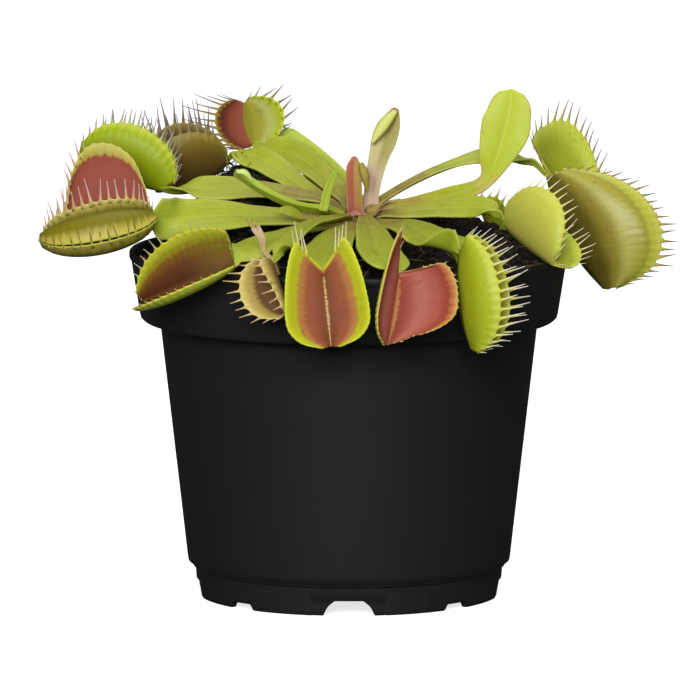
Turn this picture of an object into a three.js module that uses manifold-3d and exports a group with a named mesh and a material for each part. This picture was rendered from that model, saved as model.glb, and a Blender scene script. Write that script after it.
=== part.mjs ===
// Potted Venus flytrap in a plastic nursery pot. Millimetres, +Z up, pot axis on Z, pot feet on Z = 0.
// Every leaf (petiole with its trap) is one solid, lofted through ten-sided sections that run
// from the crown out to the tip: five points across the upper face and five across the lower one.
import * as THREE from 'three';
import { mergeVertices } from 'three/addons/utils/BufferGeometryUtils.js';
import Module from 'manifold-3d';

const wasm = await Module();
wasm.setup();

// ---------- pot ----------
const RIM_RADIUS = 45;
const POT_HEIGHT = 71;
const COLLAR_HEIGHT = 14.2;
const COLLAR_FOOT_RADIUS = 42.8;
const NECK_RADIUS = 38.7;
const BODY_FOOT_RADIUS = 33;
const SKIRT_HEIGHT = 6;
const SKIRT_RADIUS = 31.5;
const FOOT_RADIUS = 31;
const FOOT_WIDTH = 1.3;
const WALL = 0.9;
const FLOOR_UNDERSIDE = 3.3;
const FLOOR_THICKNESS = 1;
const POT_SIDES = 72;
const GAP = 0.35;
const SOIL_INSET = 0.15;
const DEEP_NOTCH = { count: 4, turn: 0, wide: 10.5, narrow: 5.8, depth: 3.1 };
const SHALLOW_NOTCH = { count: 4, turn: 45, wide: 6.4, narrow: 5, depth: 1.3 };
const DRAIN_HOLES = { count: 8, radius: 2.6, ringRadius: 22 };

// ---------- soil ----------
const SOIL_RINGS = 12;
const SOIL_SIDES = 48;
const SOIL_BASE_LEVEL = 72.4;
const SOIL_EDGE_LEVEL = 68.6;
// Mounds and hollows of the surface: centre, spread and height.
const SOIL_SWELLS = [
  { x: 1, y: 0, spread: 15, rise: 2.6 },
  { x: -24, y: 22, spread: 8.5, rise: 15 },
  { x: -12, y: 20, spread: 9, rise: 8 },
  { x: 22, y: 22, spread: 14, rise: 3.8 },
  { x: -33, y: -18, spread: 11, rise: -5 },
  { x: 12, y: -26, spread: 10, rise: -1.4 },
];

// ---------- crown and leaves ----------
const CROWN_CENTRE = new THREE.Vector3(1.5, 0, 0);
const CROWN_RADIUS = 3.4;
const CROWN_BOTTOM = 75.9;
const CROWN_TOP = 79.2;
const CROWN_SIDES = 16;

const POINTS_ACROSS = 5;
const PETIOLE_STATIONS = [0, 0.16, 0.34, 0.52, 0.7, 0.85, 0.94, 1];
const TRAP_STATIONS = 7;
const TRAP_FIRST_ANGLE = 164;
const TRAP_LAST_ANGLE = 14;
const WIDEST_AT = 0.78;
const EDGE_THICKNESS = 0.5;
const BLADE_THICKNESS = 0.9;
const MIDRIB_THICKNESS = 1.35;
const LOBE_MIDDLE = 0.55;
const WIDENING = 0.62;
const TWIST_FROM = 0.8;
const SLIT = 0.14;
const HINGE_RISE = 0.35;
const HINGE_FROM = 0.04;
const HINGE_SPAN = 0.93;
const SKIN_CLEARANCE = 0.7;

const vec = (point) => new THREE.Vector3(...point);

function mesh(name, geometry, colour, roughness) {
  const material = new THREE.MeshStandardMaterial({ color: colour, roughness, metalness: 0 });
  material.name = name;
  const solid = new THREE.Mesh(geometry, material);
  solid.name = name;
  return solid;
}

function toManifold(geometry) {
  const plain = geometry.clone();
  plain.deleteAttribute('normal');
  plain.deleteAttribute('uv');
  const merged = mergeVertices(plain, 1e-4);
  return new wasm.Manifold(new wasm.Mesh({
    numProp: 3,
    vertProperties: new Float32Array(merged.attributes.position.array),
    triVerts: new Uint32Array(merged.index.array),
  }));
}

function fromManifold(solid) {
  const out = solid.getMesh();
  const geometry = new THREE.BufferGeometry();
  const positions = new Float32Array(out.numVert * 3);
  for (let v = 0; v < out.numVert; v += 1) {
    for (let k = 0; k < 3; k += 1) {
      positions[v * 3 + k] = out.vertProperties[v * out.numProp + k];
    }
  }
  geometry.setAttribute('position', new THREE.BufferAttribute(positions, 3));
  geometry.setIndex(new THREE.BufferAttribute(new Uint32Array(out.triVerts), 1));
  geometry.computeVertexNormals();
  return geometry;
}

// Solid from equal closed sections: each neighbouring pair is joined, both ends are capped.
function loft(sections) {
  const count = sections[0].length;
  const positions = [];
  for (const section of sections) {
    for (const point of section) {
      positions.push(point.x, point.y, point.z);
    }
  }
  const faces = [];
  for (let s = 0; s + 1 < sections.length; s += 1) {
    for (let i = 0; i < count; i += 1) {
      const a = s * count + i;
      const b = s * count + ((i + 1) % count);
      faces.push(a, b, b + count);
      faces.push(a, b + count, a + count);
    }
  }
  const last = (sections.length - 1) * count;
  for (let i = 0; i + 1 < count / 2; i += 1) {
    const over = [i, i + 1];
    const under = [count - 1 - i, count - 2 - i];
    faces.push(over[0], under[0], under[1]);
    faces.push(over[0], under[1], over[1]);
    faces.push(last + over[0], last + under[1], last + under[0]);
    faces.push(last + over[0], last + over[1], last + under[1]);
  }
  const geometry = new THREE.BufferGeometry();
  geometry.setAttribute('position', new THREE.Float32BufferAttribute(positions, 3));
  geometry.setIndex(faces);
  return outward(geometry);
}

// Turns every face round when the body came out inside out.
function outward(geometry) {
  const position = geometry.attributes.position;
  const index = geometry.index;
  const [a, b, c] = [new THREE.Vector3(), new THREE.Vector3(), new THREE.Vector3()];
  let volume = 0;
  for (let f = 0; f < index.count; f += 3) {
    a.fromBufferAttribute(position, index.getX(f));
    b.fromBufferAttribute(position, index.getX(f + 1));
    c.fromBufferAttribute(position, index.getX(f + 2));
    volume += a.dot(b.cross(c));
  }
  if (volume < 0) {
    for (let f = 0; f < index.count; f += 3) {
      const keep = index.getX(f + 1);
      index.setX(f + 1, index.getX(f + 2));
      index.setX(f + 2, keep);
    }
  }
  geometry.computeVertexNormals();
  return geometry;
}

// ---------- pot ----------
function lathe(profile, sides) {
  const points = profile.map(([r, z]) => new THREE.Vector2(r, z));
  const geometry = new THREE.LatheGeometry(points, sides);
  geometry.rotateX(Math.PI / 2);
  return geometry;
}

function potProfile() {
  const collarFoot = POT_HEIGHT - COLLAR_HEIGHT;
  const inner = (radius) => radius - WALL;
  return [
    [0, FLOOR_UNDERSIDE],
    [FOOT_RADIUS - FOOT_WIDTH, FLOOR_UNDERSIDE],
    [FOOT_RADIUS - FOOT_WIDTH, 0],
    [FOOT_RADIUS, 0],
    [SKIRT_RADIUS, SKIRT_HEIGHT],
    [SKIRT_RADIUS + 0.5, SKIRT_HEIGHT + 0.2],
    [BODY_FOOT_RADIUS, SKIRT_HEIGHT + 1],
    [NECK_RADIUS, collarFoot - 0.5],
    [COLLAR_FOOT_RADIUS - 0.9, collarFoot + 0.1],
    [COLLAR_FOOT_RADIUS, collarFoot + 1.3],
    [RIM_RADIUS - 0.25, POT_HEIGHT - 1.4],
    [RIM_RADIUS, POT_HEIGHT - 0.9],
    [RIM_RADIUS, POT_HEIGHT],
    [inner(RIM_RADIUS), POT_HEIGHT],
    [inner(COLLAR_FOOT_RADIUS), collarFoot + 1.6],
    [inner(NECK_RADIUS), collarFoot - 0.4],
    [inner(BODY_FOOT_RADIUS), SKIRT_HEIGHT + 1],
    [inner(SKIRT_RADIUS), FLOOR_UNDERSIDE + FLOOR_THICKNESS],
    [0, FLOOR_UNDERSIDE + FLOOR_THICKNESS],
  ];
}

function notchCutter({ wide, narrow, depth }) {
  const shape = new THREE.Shape();
  const below = 1;
  shape.moveTo(-wide / 2, -below);
  shape.lineTo(wide / 2, -below);
  shape.lineTo(wide / 2, 0);
  shape.lineTo(narrow / 2, depth);
  shape.lineTo(-narrow / 2, depth);
  shape.lineTo(-wide / 2, 0);
  const reach = FOOT_WIDTH + 4;
  const geometry = new THREE.ExtrudeGeometry(shape, { depth: reach, bevelEnabled: false });
  geometry.rotateX(Math.PI / 2);
  geometry.translate(0, -FOOT_RADIUS + FOOT_WIDTH + 1.5, 0);
  return geometry;
}

function buildPot() {
  let pot = toManifold(lathe(potProfile(), POT_SIDES));
  for (const notch of [DEEP_NOTCH, SHALLOW_NOTCH]) {
    const cutter = toManifold(notchCutter(notch));
    for (let k = 0; k < notch.count; k += 1) {
      pot = pot.subtract(cutter.rotate([0, 0, notch.turn + (360 / notch.count) * k]));
    }
  }
  for (let k = 0; k < DRAIN_HOLES.count; k += 1) {
    const angle = ((k + 0.5) / DRAIN_HOLES.count) * Math.PI * 2;
    const bore = new THREE.CylinderGeometry(DRAIN_HOLES.radius, DRAIN_HOLES.radius, 3, 14);
    bore.rotateX(Math.PI / 2);
    bore.translate(
      DRAIN_HOLES.ringRadius * Math.cos(angle),
      DRAIN_HOLES.ringRadius * Math.sin(angle),
      FLOOR_UNDERSIDE + FLOOR_THICKNESS / 2,
    );
    pot = pot.subtract(toManifold(bore));
  }
  return fromManifold(pot);
}

// ---------- soil ----------
function soilLevel(x, y) {
  let level = SOIL_BASE_LEVEL;
  for (const swell of SOIL_SWELLS) {
    const far = Math.hypot(x - swell.x, y - swell.y) / swell.spread;
    level += swell.rise * Math.exp(-far * far);
  }
  const edge = Math.pow(Math.hypot(x, y) / soilEdgeRadius(), 7);
  const ripple = 0.35 * Math.sin(x * 0.9 + y * 0.4) * Math.cos(y * 0.8 - x * 0.3);
  return level + ripple + (SOIL_EDGE_LEVEL - level) * Math.min(1, edge);
}

function innerRadiusAt(z) {
  const collarFoot = POT_HEIGHT - COLLAR_HEIGHT;
  const lowBend = SKIRT_HEIGHT + 1;
  const wall = (from, to, t) => from + (to - from) * t - WALL - GAP;
  if (z < lowBend) {
    const floor = FLOOR_UNDERSIDE + FLOOR_THICKNESS;
    return wall(SKIRT_RADIUS, BODY_FOOT_RADIUS, (z - floor) / (lowBend - floor));
  }
  if (z < collarFoot - 0.4) {
    return wall(BODY_FOOT_RADIUS, NECK_RADIUS, (z - lowBend) / (collarFoot - 0.4 - lowBend));
  }
  const bend = collarFoot + 1.6;
  if (z < bend) {
    return wall(NECK_RADIUS, COLLAR_FOOT_RADIUS, (z - collarFoot + 0.4) / 2);
  }
  return wall(COLLAR_FOOT_RADIUS, RIM_RADIUS, (z - bend) / (POT_HEIGHT - bend));
}

function soilEdgeRadius() {
  return innerRadiusAt(SOIL_EDGE_LEVEL) - SOIL_INSET;
}

function buildSoil() {
  const collarFoot = POT_HEIGHT - COLLAR_HEIGHT;
  const rings = [];
  for (let k = 1; k <= SOIL_RINGS; k += 1) {
    rings.push({ radius: (soilEdgeRadius() * k) / SOIL_RINGS, level: null });
  }
  const bottomLevel = FLOOR_UNDERSIDE + FLOOR_THICKNESS + GAP;
  for (const level of [collarFoot + 1.6, collarFoot - 0.4, SKIRT_HEIGHT + 1, bottomLevel]) {
    rings.push({ radius: innerRadiusAt(level) - SOIL_INSET, level });
  }
  const positions = [0, 0, soilLevel(0, 0)];
  for (const { radius, level } of rings) {
    for (let i = 0; i < SOIL_SIDES; i += 1) {
      const angle = (i / SOIL_SIDES) * Math.PI * 2;
      const x = radius * Math.cos(angle);
      const y = radius * Math.sin(angle);
      positions.push(x, y, level === null ? soilLevel(x, y) : level);
    }
  }
  positions.push(0, 0, bottomLevel);
  const faces = [];
  const at = (ring, i) => 1 + ring * SOIL_SIDES + (i % SOIL_SIDES);
  const bottom = 1 + rings.length * SOIL_SIDES;
  for (let i = 0; i < SOIL_SIDES; i += 1) {
    faces.push(0, at(0, i), at(0, i + 1));
    for (let ring = 0; ring + 1 < rings.length; ring += 1) {
      faces.push(at(ring, i), at(ring + 1, i), at(ring + 1, i + 1));
      faces.push(at(ring, i), at(ring + 1, i + 1), at(ring, i + 1));
    }
    faces.push(bottom, at(rings.length - 1, i + 1), at(rings.length - 1, i));
  }
  const geometry = new THREE.BufferGeometry();
  geometry.setAttribute('position', new THREE.Float32BufferAttribute(positions, 3));
  geometry.setIndex(faces);
  return outward(geometry);
}

function buildCrown() {
  const middle = (CROWN_BOTTOM + CROWN_TOP) / 2;
  const profile = [
    [0, CROWN_BOTTOM],
    [CROWN_RADIUS * 0.75, CROWN_BOTTOM],
    [CROWN_RADIUS, middle],
    [CROWN_RADIUS * 0.7, CROWN_TOP - 0.5],
    [0, CROWN_TOP],
  ];
  const geometry = fromManifold(toManifold(lathe(profile, CROWN_SIDES)));
  geometry.translate(CROWN_CENTRE.x, CROWN_CENTRE.y, 0);
  return geometry;
}

// ---------- leaf sections ----------
function square(direction, along) {
  return direction.clone().addScaledVector(along, -direction.dot(along)).normalize();
}

// Flat or gently channelled blade section, edge to edge.
function bladeSection(centre, along, face, halfWidth, { channel, thick }) {
  const out = square(face, along);
  const side = new THREE.Vector3().crossVectors(along, out);
  const upper = [];
  const lower = [];
  for (let i = 0; i < POINTS_ACROSS; i += 1) {
    const across = (2 * i) / (POINTS_ACROSS - 1) - 1;
    const near = 1 - Math.abs(across);
    const thickness = near === 0
      ? EDGE_THICKNESS
      : thick * (near === 1 ? MIDRIB_THICKNESS : BLADE_THICKNESS);
    const rise = channel * Math.abs(across) * halfWidth;
    const top = centre.clone().addScaledVector(side, across * halfWidth);
    top.addScaledVector(out, rise + EDGE_THICKNESS / 2);
    upper.push(top);
    lower.push(top.clone().addScaledVector(out, -thickness));
  }
  return [...upper, ...lower.reverse()];
}

// Keeps a lobe's point at least a given way out from the plane where the two lobes would meet.
function clearOf(point, fold, outwards, least) {
  const out = point.clone().sub(fold).dot(outwards);
  return out < least ? point.addScaledVector(outwards, least - out) : point;
}

// Section across both lobes of a trap, from one toothed margin over the hinge to the other.
function trapSection(trap, hingePoint, share) {
  const mouth = square(vec(trap.mouth), trap.axis);
  const side = new THREE.Vector3().crossVectors(trap.axis, mouth);
  const half = THREE.MathUtils.degToRad(trap.open / 2);
  const upper = new Array(POINTS_ACROSS);
  const lower = new Array(POINTS_ACROSS);
  upper[2] = hingePoint.clone().addScaledVector(mouth, HINGE_RISE);
  lower[2] = hingePoint.clone().addScaledVector(mouth, HINGE_RISE - MIDRIB_THICKNESS);
  for (const hand of [-1, 1]) {
    const which = (hand + 1) / 2;
    const angle = THREE.MathUtils.degToRad(THREE.MathUtils.lerp(trap.first[which], TRAP_LAST_ANGLE, share));
    const lobe = mouth.clone().multiplyScalar(Math.cos(half));
    lobe.addScaledVector(side, hand * Math.sin(half));
    const away = side.clone().multiplyScalar(hand * Math.cos(half));
    away.addScaledVector(mouth, -Math.sin(half));
    const overhang = (Math.cos(angle) < 0 ? trap.back : trap.front)[which];
    const height = trap.lobe[which] * Math.pow(Math.sin(angle), 0.8);
    const shift = Math.cos(angle) * (trap.halfLength + overhang) - height * trap.sweep[which];
    const margin = trap.middle.clone().addScaledVector(trap.axis, shift);
    margin.addScaledVector(lobe, height);
    const body = hingePoint.clone().lerp(margin, LOBE_MIDDLE);
    body.addScaledVector(away, height * trap.bulge);
    const outwards = side.clone().multiplyScalar(hand);
    const folds = [hingePoint.clone().lerp(trap.middle, LOBE_MIDDLE), trap.middle];
    [[body, BLADE_THICKNESS], [margin, EDGE_THICKNESS]].forEach(([point, thickness], k) => {
      const inner = point.clone().addScaledVector(away, -thickness / 2);
      const outer = point.clone().addScaledVector(away, thickness / 2);
      upper[2 + (k + 1) * hand] = clearOf(inner, folds[k], outwards, SLIT / 2);
      lower[2 + (k + 1) * hand] = clearOf(outer, folds[k], outwards, SLIT / 2 + thickness * SKIN_CLEARANCE);
    });
  }
  return [...upper, ...lower.reverse()];
}

function petioleHalfWidth(leaf, u) {
  if (leaf.halfWidths) {
    return leaf.halfWidths[PETIOLE_STATIONS.indexOf(u)];
  }
  const { base, widest, neck } = leaf.width;
  if (u <= WIDEST_AT) {
    return base + (widest - base) * Math.pow(u / WIDEST_AT, WIDENING);
  }
  const t = (u - WIDEST_AT) / (1 - WIDEST_AT);
  return widest + (neck - widest) * (1 - Math.sqrt(Math.max(0, 1 - t * t)));
}

function leafSections(leaf) {
  const curve = new THREE.CatmullRomCurve3(leaf.path.map(vec), false, 'centripetal');
  const sections = [];
  const faces = leaf.face.map(vec);
  const endFace = leaf.trap ? vec(leaf.trap.mouth).normalize() : faces[faces.length - 1];
  for (const u of PETIOLE_STATIONS) {
    const face = faces[0].clone().normalize();
    if (faces.length > 1) {
      face.lerp(faces[1].clone().normalize(), THREE.MathUtils.smoothstep(u, 0.3, 0.75));
    }
    if (leaf.trap) {
      face.lerp(endFace, THREE.MathUtils.smoothstep(u, TWIST_FROM, 1));
    }
    const centre = curve.getPointAt(u);
    sections.push(bladeSection(centre, curve.getTangentAt(u), face, petioleHalfWidth(leaf, u), leaf));
  }
  if (leaf.trap) {
    sections.push(...trapSections(leaf.trap));
  }
  return sections;
}

// One number stands for both lobes, a pair gives each lobe its own.
const perLobe = (value) => (Array.isArray(value) ? value : [value, value]);

function trapSections(trap) {
  const [start, bend, end] = trap.hinge.map(vec);
  const pull = bend.clone().multiplyScalar(2).addScaledVector(start, -0.5).addScaledVector(end, -0.5);
  const hinge = new THREE.QuadraticBezierCurve3(start, pull, end);
  const shape = {
    mouth: trap.mouth,
    open: trap.open,
    bulge: trap.bulge ?? 0.16,
    lobe: perLobe(trap.lobe),
    back: perLobe(trap.back ?? 1.5),
    front: perLobe(trap.front ?? 1),
    sweep: perLobe(trap.sweep ?? 0),
    first: perLobe(trap.first ?? TRAP_FIRST_ANGLE),
    middle: hinge.getPoint(0.5),
    axis: end.clone().sub(start).normalize(),
    halfLength: end.distanceTo(start) / 2,
  };
  const sections = [];
  for (let k = 0; k < TRAP_STATIONS; k += 1) {
    const share = k / (TRAP_STATIONS - 1);
    sections.push(trapSection(shape, hinge.getPoint(HINGE_FROM + HINGE_SPAN * share), share));
  }
  return sections;
}

// ---------- the leaves ----------
const LEAVES = [
  {
    name: 'leaf_left_green',
    path: [[-4.3, 2.6, 80.6], [-10, 4.6, 81.6], [-17, 6.5, 82.3], [-27, 8.2, 82.5], [-36, 8.5, 82.4]],
    face: [[0, -0.45, 0.9], [0, -0.7, 0.7]],
    width: { base: 1, widest: 3, neck: 0.9 },
    trap: {
      hinge: [[-38, 8.5, 82.8], [-46.5, 11, 85], [-55.4, 12, 90]],
      mouth: [0.3, 0.2, 0.95],
      open: 34,
      lobe: 11,
    },
  },
  {
    name: 'leaf_left_red',
    path: [[-4.9, -0.1, 78.6], [-14, 0.2, 79.1], [-26, 0.6, 79.6], [-34, 0.2, 79.6], [-38.6, -1.8, 78.6]],
    face: [[0, 0, 1]],
    width: { base: 0.9, widest: 1.9, neck: 0.9 },
    trap: {
      hinge: [[-40.5, -3, 78], [-51, -4.4, 76.4], [-62, -5.4, 74]],
      mouth: [0, -0.39, 0.92],
      open: 70,
      lobe: [13, 16.8],
      front: [1, -4.4],
      back: [0.5, -0.6],
      sweep: [0, 0.14],
    },
  },
  {
    name: 'leaf_left_olive',
    path: [[-4.6, -2.8, 77.4], [-12, -5.4, 78.2], [-24, -8.4, 79], [-33, -10.5, 79], [-38.5, -12.6, 79]],
    face: [[0, -0.5, 0.86], [0, -0.72, 0.68]],
    width: { base: 1.1, widest: 3.8, neck: 1 },
    trap: {
      hinge: [[-40.5, -13.6, 79], [-51.5, -15, 78.2], [-62.6, -15.4, 74.8]],
      mouth: [0, -0.96, -0.27],
      open: 5,
      lobe: [9.4, 9.2],
      bulge: 0.4,
    },
  },
  {
    name: 'leaf_back_left_brown',
    path: [[-3.2, 4.2, 79.2], [-10, 10.5, 82.6], [-17.5, 17.5, 87], [-23.7, 23, 88.2]],
    face: [[0.1, -0.5, 0.85], [0.15, -0.75, 0.6]],
    width: { base: 1, widest: 3.2, neck: 0.9 },
    trap: {
      hinge: [[-25.9, 25, 85.4], [-32, 24.8, 82.4], [-38.4, 22.8, 81.4]],
      mouth: [0.1, -0.1, 0.95],
      open: 40,
      lobe: 10.8,
    },
  },
  {
    name: 'leaf_back_left_tall',
    path: [[-0.7, 5.2, 80.6], [-5, 12.5, 84.2], [-10.6, 21, 87.4], [-17.2, 29.6, 88.6]],
    face: [[0.1, -0.7, 0.7], [0.2, -0.8, 0.5]],
    width: { base: 1.2, widest: 3.4, neck: 0.9 },
    trap: {
      hinge: [[-20, 32.6, 88.6], [-21.4, 34.6, 93.2], [-21.8, 35.6, 97.6]],
      mouth: [0.15, -0.95, 0.2],
      open: 120,
      lobe: [8.8, 9.4],
    },
  },
  {
    name: 'leaf_back_cut',
    path: [[2.6, 5.6, 79.6], [0.2, 15.5, 81.6], [-5.4, 25, 85.4], [-13.2, 33, 90]],
    face: [[0.1, -0.6, 0.8], [0.1, -0.95, 0.2]],
    halfWidths: [0.9, 1.2, 1.6, 2, 2.2, 2.4, 2.4, 2.2],
  },
  {
    name: 'leaf_front_left_open',
    path: [[-2.4, -5.6, 77.2], [-9.5, -13, 76.6], [-17, -26.5, 76], [-21.5, -36, 74.6]],
    face: [[-0.2, -0.35, 0.9], [-0.3, -0.5, 0.8]],
    width: { base: 1.1, widest: 4, neck: 1 },
    trap: {
      hinge: [[-23, -39.4, 73.6], [-32.5, -37, 68.6], [-42, -31, 64.4]],
      mouth: [0.05, -0.72, 0.7],
      open: 84,
      lobe: [9, 10.4],
      back: [1.5, 2.5],
      sweep: [0, 0.3],
      first: [164, 140],
    },
  },
  {
    name: 'leaf_front_left_small',
    path: [[-0.9, -6.1, 78.8], [-7.5, -18, 78.8], [-12, -32, 77], [-14.6, -42.5, 75.2]],
    face: [[-0.1, -0.3, 0.95]],
    width: { base: 0.9, widest: 2.1, neck: 0.8 },
    trap: {
      hinge: [[-16, -45.6, 74.5], [-14.2, -48.4, 70], [-12, -49, 65]],
      mouth: [-0.74, -0.6, -0.15],
      open: 70,
      lobe: 8,
      back: [1, 2],
    },
  },
  {
    name: 'leaf_front_heart',
    path: [[0.6, -6.4, 77.2], [-3, -22, 75.6], [-4.9, -40.5, 73.8], [-5, -47.2, 72.6]],
    face: [[0, -0.25, 0.97]],
    width: { base: 1.3, widest: 4.4, neck: 1.1 },
    trap: {
      hinge: [[-5, -49, 71.2], [-4.2, -51, 64], [-3.6, -51, 58.2]],
      mouth: [0, -1, 0.1],
      open: 118,
      lobe: 9.8,
      back: 9.2,
      front: -0.6,
      first: 148,
    },
  },
  {
    name: 'leaf_front_pink',
    path: [[3.2, -6.1, 78.6], [4.8, -20, 76.6], [6.9, -38.5, 74.2], [9.8, -45.5, 72.5]],
    face: [[0.1, -0.25, 0.97]],
    width: { base: 1.1, widest: 3.8, neck: 1 },
    trap: {
      hinge: [[9.7, -48, 71], [9, -50, 64.5], [7.5, -50, 58.2]],
      mouth: [0.44, -0.89, 0.05],
      open: 106,
      lobe: [12.6, 7.5],
      back: [4, 10],
      front: [-1.5, 0],
      sweep: [0.25, 0.1],
      first: [142, 160],
    },
  },
  {
    name: 'leaf_front_right_closed',
    path: [[5.4, -4.6, 77.3], [11.2, -14.5, 76.6], [17, -28.5, 75.2], [21.7, -40, 76.2]],
    face: [[0.1, -0.5, 0.85]],
    width: { base: 1.2, widest: 4.3, neck: 1 },
    trap: {
      hinge: [[23.2, -43.8, 76.8], [22.8, -46.6, 67], [25.4, -46.4, 56.8]],
      mouth: [1, -0.35, 0.1],
      open: 34,
      lobe: 9.8,
      back: 2.6,
    },
  },
  {
    name: 'leaf_right_pair',
    path: [[7.2, -1.4, 78.6], [15, -1.8, 79.2], [25, -4.2, 80.2], [31, -9.2, 79.6]],
    face: [[0, -0.55, 0.83], [0, -0.7, 0.7]],
    width: { base: 1, widest: 2.9, neck: 0.9 },
    trap: {
      hinge: [[32.3, -12.6, 78], [36, -19, 75.2], [42, -25, 71.6]],
      mouth: [0.55, 0.45, 0.7],
      open: 62,
      lobe: [9.6, 11.5],
      front: [4.5, 1],
    },
  },
  {
    name: 'leaf_right_big',
    path: [[6.6, 3.4, 80.8], [13, 6.3, 84.3], [21, 9.2, 87.4], [29, 11.2, 88.9], [38, 12, 87.8]],
    face: [[0, -0.45, 0.9], [0, -0.6, 0.8]],
    halfWidths: [0.8, 0.8, 0.85, 1.1, 1.9, 1.9, 1.5, 0.9],
    trap: {
      hinge: [[41.8, 11, 85.4], [44.6, 9, 74], [53.6, 5, 62]],
      mouth: [0.85, 0.25, 0.5],
      open: 50,
      lobe: [10.4, 18.8],
      first: [172, 164],
      back: [4, 0],
      front: [3, 1],
      sweep: [1.15, -0.32],
    },
  },
  {
    name: 'leaf_right_paddle',
    path: [
      [7.2, 1.2, 79.6],
      [15, 2.4, 80.6],
      [24, 3, 83],
      [29.4, 3, 85.6],
      [30.6, 3.4, 91],
      [32.6, 4.4, 97.4],
      [33.2, 5, 101.6],
    ],
    face: [[0, -0.7, 0.7], [-0.1, -1, 0.1]],
    halfWidths: [0.8, 1.3, 1.7, 1.4, 3.6, 4.9, 4, 2],
  },
  {
    name: 'leaf_upright_tall',
    path: [[4.4, 2.4, 78.8], [4.9, 3.6, 84], [6.6, 5, 91], [9.4, 7, 98.6]],
    face: [[-0.2, -0.95, 0]],
    halfWidths: [1.4, 1.45, 1.6, 1.9, 2.4, 2.1, 1.5, 0.9],
    thick: 2,
  },
  {
    name: 'leaf_upright_red',
    path: [[1.2, -0.6, 79.6], [1.1, -0.8, 83], [1, -0.8, 86.4], [1.1, -0.8, 89.6]],
    face: [[0, -1, 0]],
    halfWidths: [1.5, 1.5, 1.5, 1.5, 1.5, 1.45, 1.2, 0.8],
    thick: 2.2,
  },
  {
    name: 'leaf_young_hook',
    path: [[-4.2, -4.6, 80.2], [-10, -6.8, 81.2], [-16.4, -8, 84], [-22.6, -9, 88.2]],
    face: [[0, -0.6, 0.8]],
    halfWidths: [0.6, 0.65, 0.7, 0.8, 0.9, 0.95, 0.8, 0.6],
    thick: 1.5,
  },
  {
    name: 'leaf_young_spear',
    path: [[-5.3, -8, 80.1], [-4.8, -7.8, 82.8], [-4.1, -7.6, 85.3], [-3.1, -7.4, 87.6]],
    face: [[0.3, -0.9, 0.1]],
    halfWidths: [0.75, 0.75, 0.75, 0.7, 0.65, 0.6, 0.5, 0.35],
    thick: 1.2,
  },
  {
    name: 'leaf_right_dark',
    path: [[6.6, 3.2, 77.3], [13, 7.6, 78.4], [20, 12, 78.6]],
    face: [[0, -0.35, 0.94]],
    width: { base: 0.9, widest: 1.9, neck: 0.7 },
  },
  {
    name: 'leaf_back_middle',
    path: [[1.6, 6.6, 77.6], [2.6, 20, 77.2], [3.4, 36, 75.4], [3.6, 45.6, 73.6]],
    face: [[0, 0.1, 1]],
    width: { base: 1.1, widest: 3.4, neck: 1 },
    trap: {
      hinge: [[3.6, 48, 72.4], [3.4, 50.5, 66], [3, 50.6, 58.8]],
      mouth: [0, 1, 0.1],
      open: 96,
      lobe: 9.5,
      back: 2,
    },
  },
  {
    name: 'leaf_back_right',
    path: [[5.2, 5.4, 77.6], [12.5, 17, 78], [20, 30, 77], [25.5, 38.5, 75.6]],
    face: [[0.1, 0.1, 1]],
    width: { base: 1.1, widest: 3.2, neck: 1 },
    trap: {
      hinge: [[27, 41.4, 74.6], [30.5, 45, 69.5], [31.5, 46, 61]],
      mouth: [0.45, 0.9, 0.1],
      open: 60,
      lobe: 9,
    },
  },
  {
    name: 'leaf_back_left_low',
    path: [[-1.6, 5.4, 77.4], [-6.4, 16.5, 82.6], [-11.6, 29.5, 81.8], [-15.5, 39.5, 76.8]],
    face: [[-0.1, 0.1, 1]],
    width: { base: 1.1, widest: 3, neck: 1 },
    trap: {
      hinge: [[-16.4, 43, 75], [-18.5, 47, 70], [-18.8, 48, 62]],
      mouth: [-0.4, 0.9, 0.1],
      open: 84,
      lobe: 8.5,
    },
  },
];

function buildPart() {
  const group = new THREE.Group();
  group.name = 'potted_venus_flytrap';
  group.add(mesh('pot', buildPot(), 0x1b1d1c, 0.6));
  group.add(mesh('soil', buildSoil(), 0x2b211a, 0.95));
  group.add(mesh('crown', buildCrown(), 0x8a5a4a, 0.7));
  for (const leaf of LEAVES) {
    const full = { channel: 0.12, thick: 1, ...leaf };
    group.add(mesh(leaf.name, loft(leafSections(full)), 0x9db33b, 0.55));
  }
  return group;
}

export default buildPart();
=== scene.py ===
"""The looks of a potted Venus flytrap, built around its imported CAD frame.

Every leaf is rebuilt on the sections of its CAD node: a smooth petiole, two bowed lobes with a
scalloped rim, and teeth that stand on the rim. Lengths in this file are in millimetres and
become metres where a mesh is made. Colours are red, green and blue, 0 to 255 each.
"""

import math

import bmesh
import bpy
import numpy as np
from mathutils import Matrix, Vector, noise
from mathutils.bvhtree import BVHTree


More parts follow.
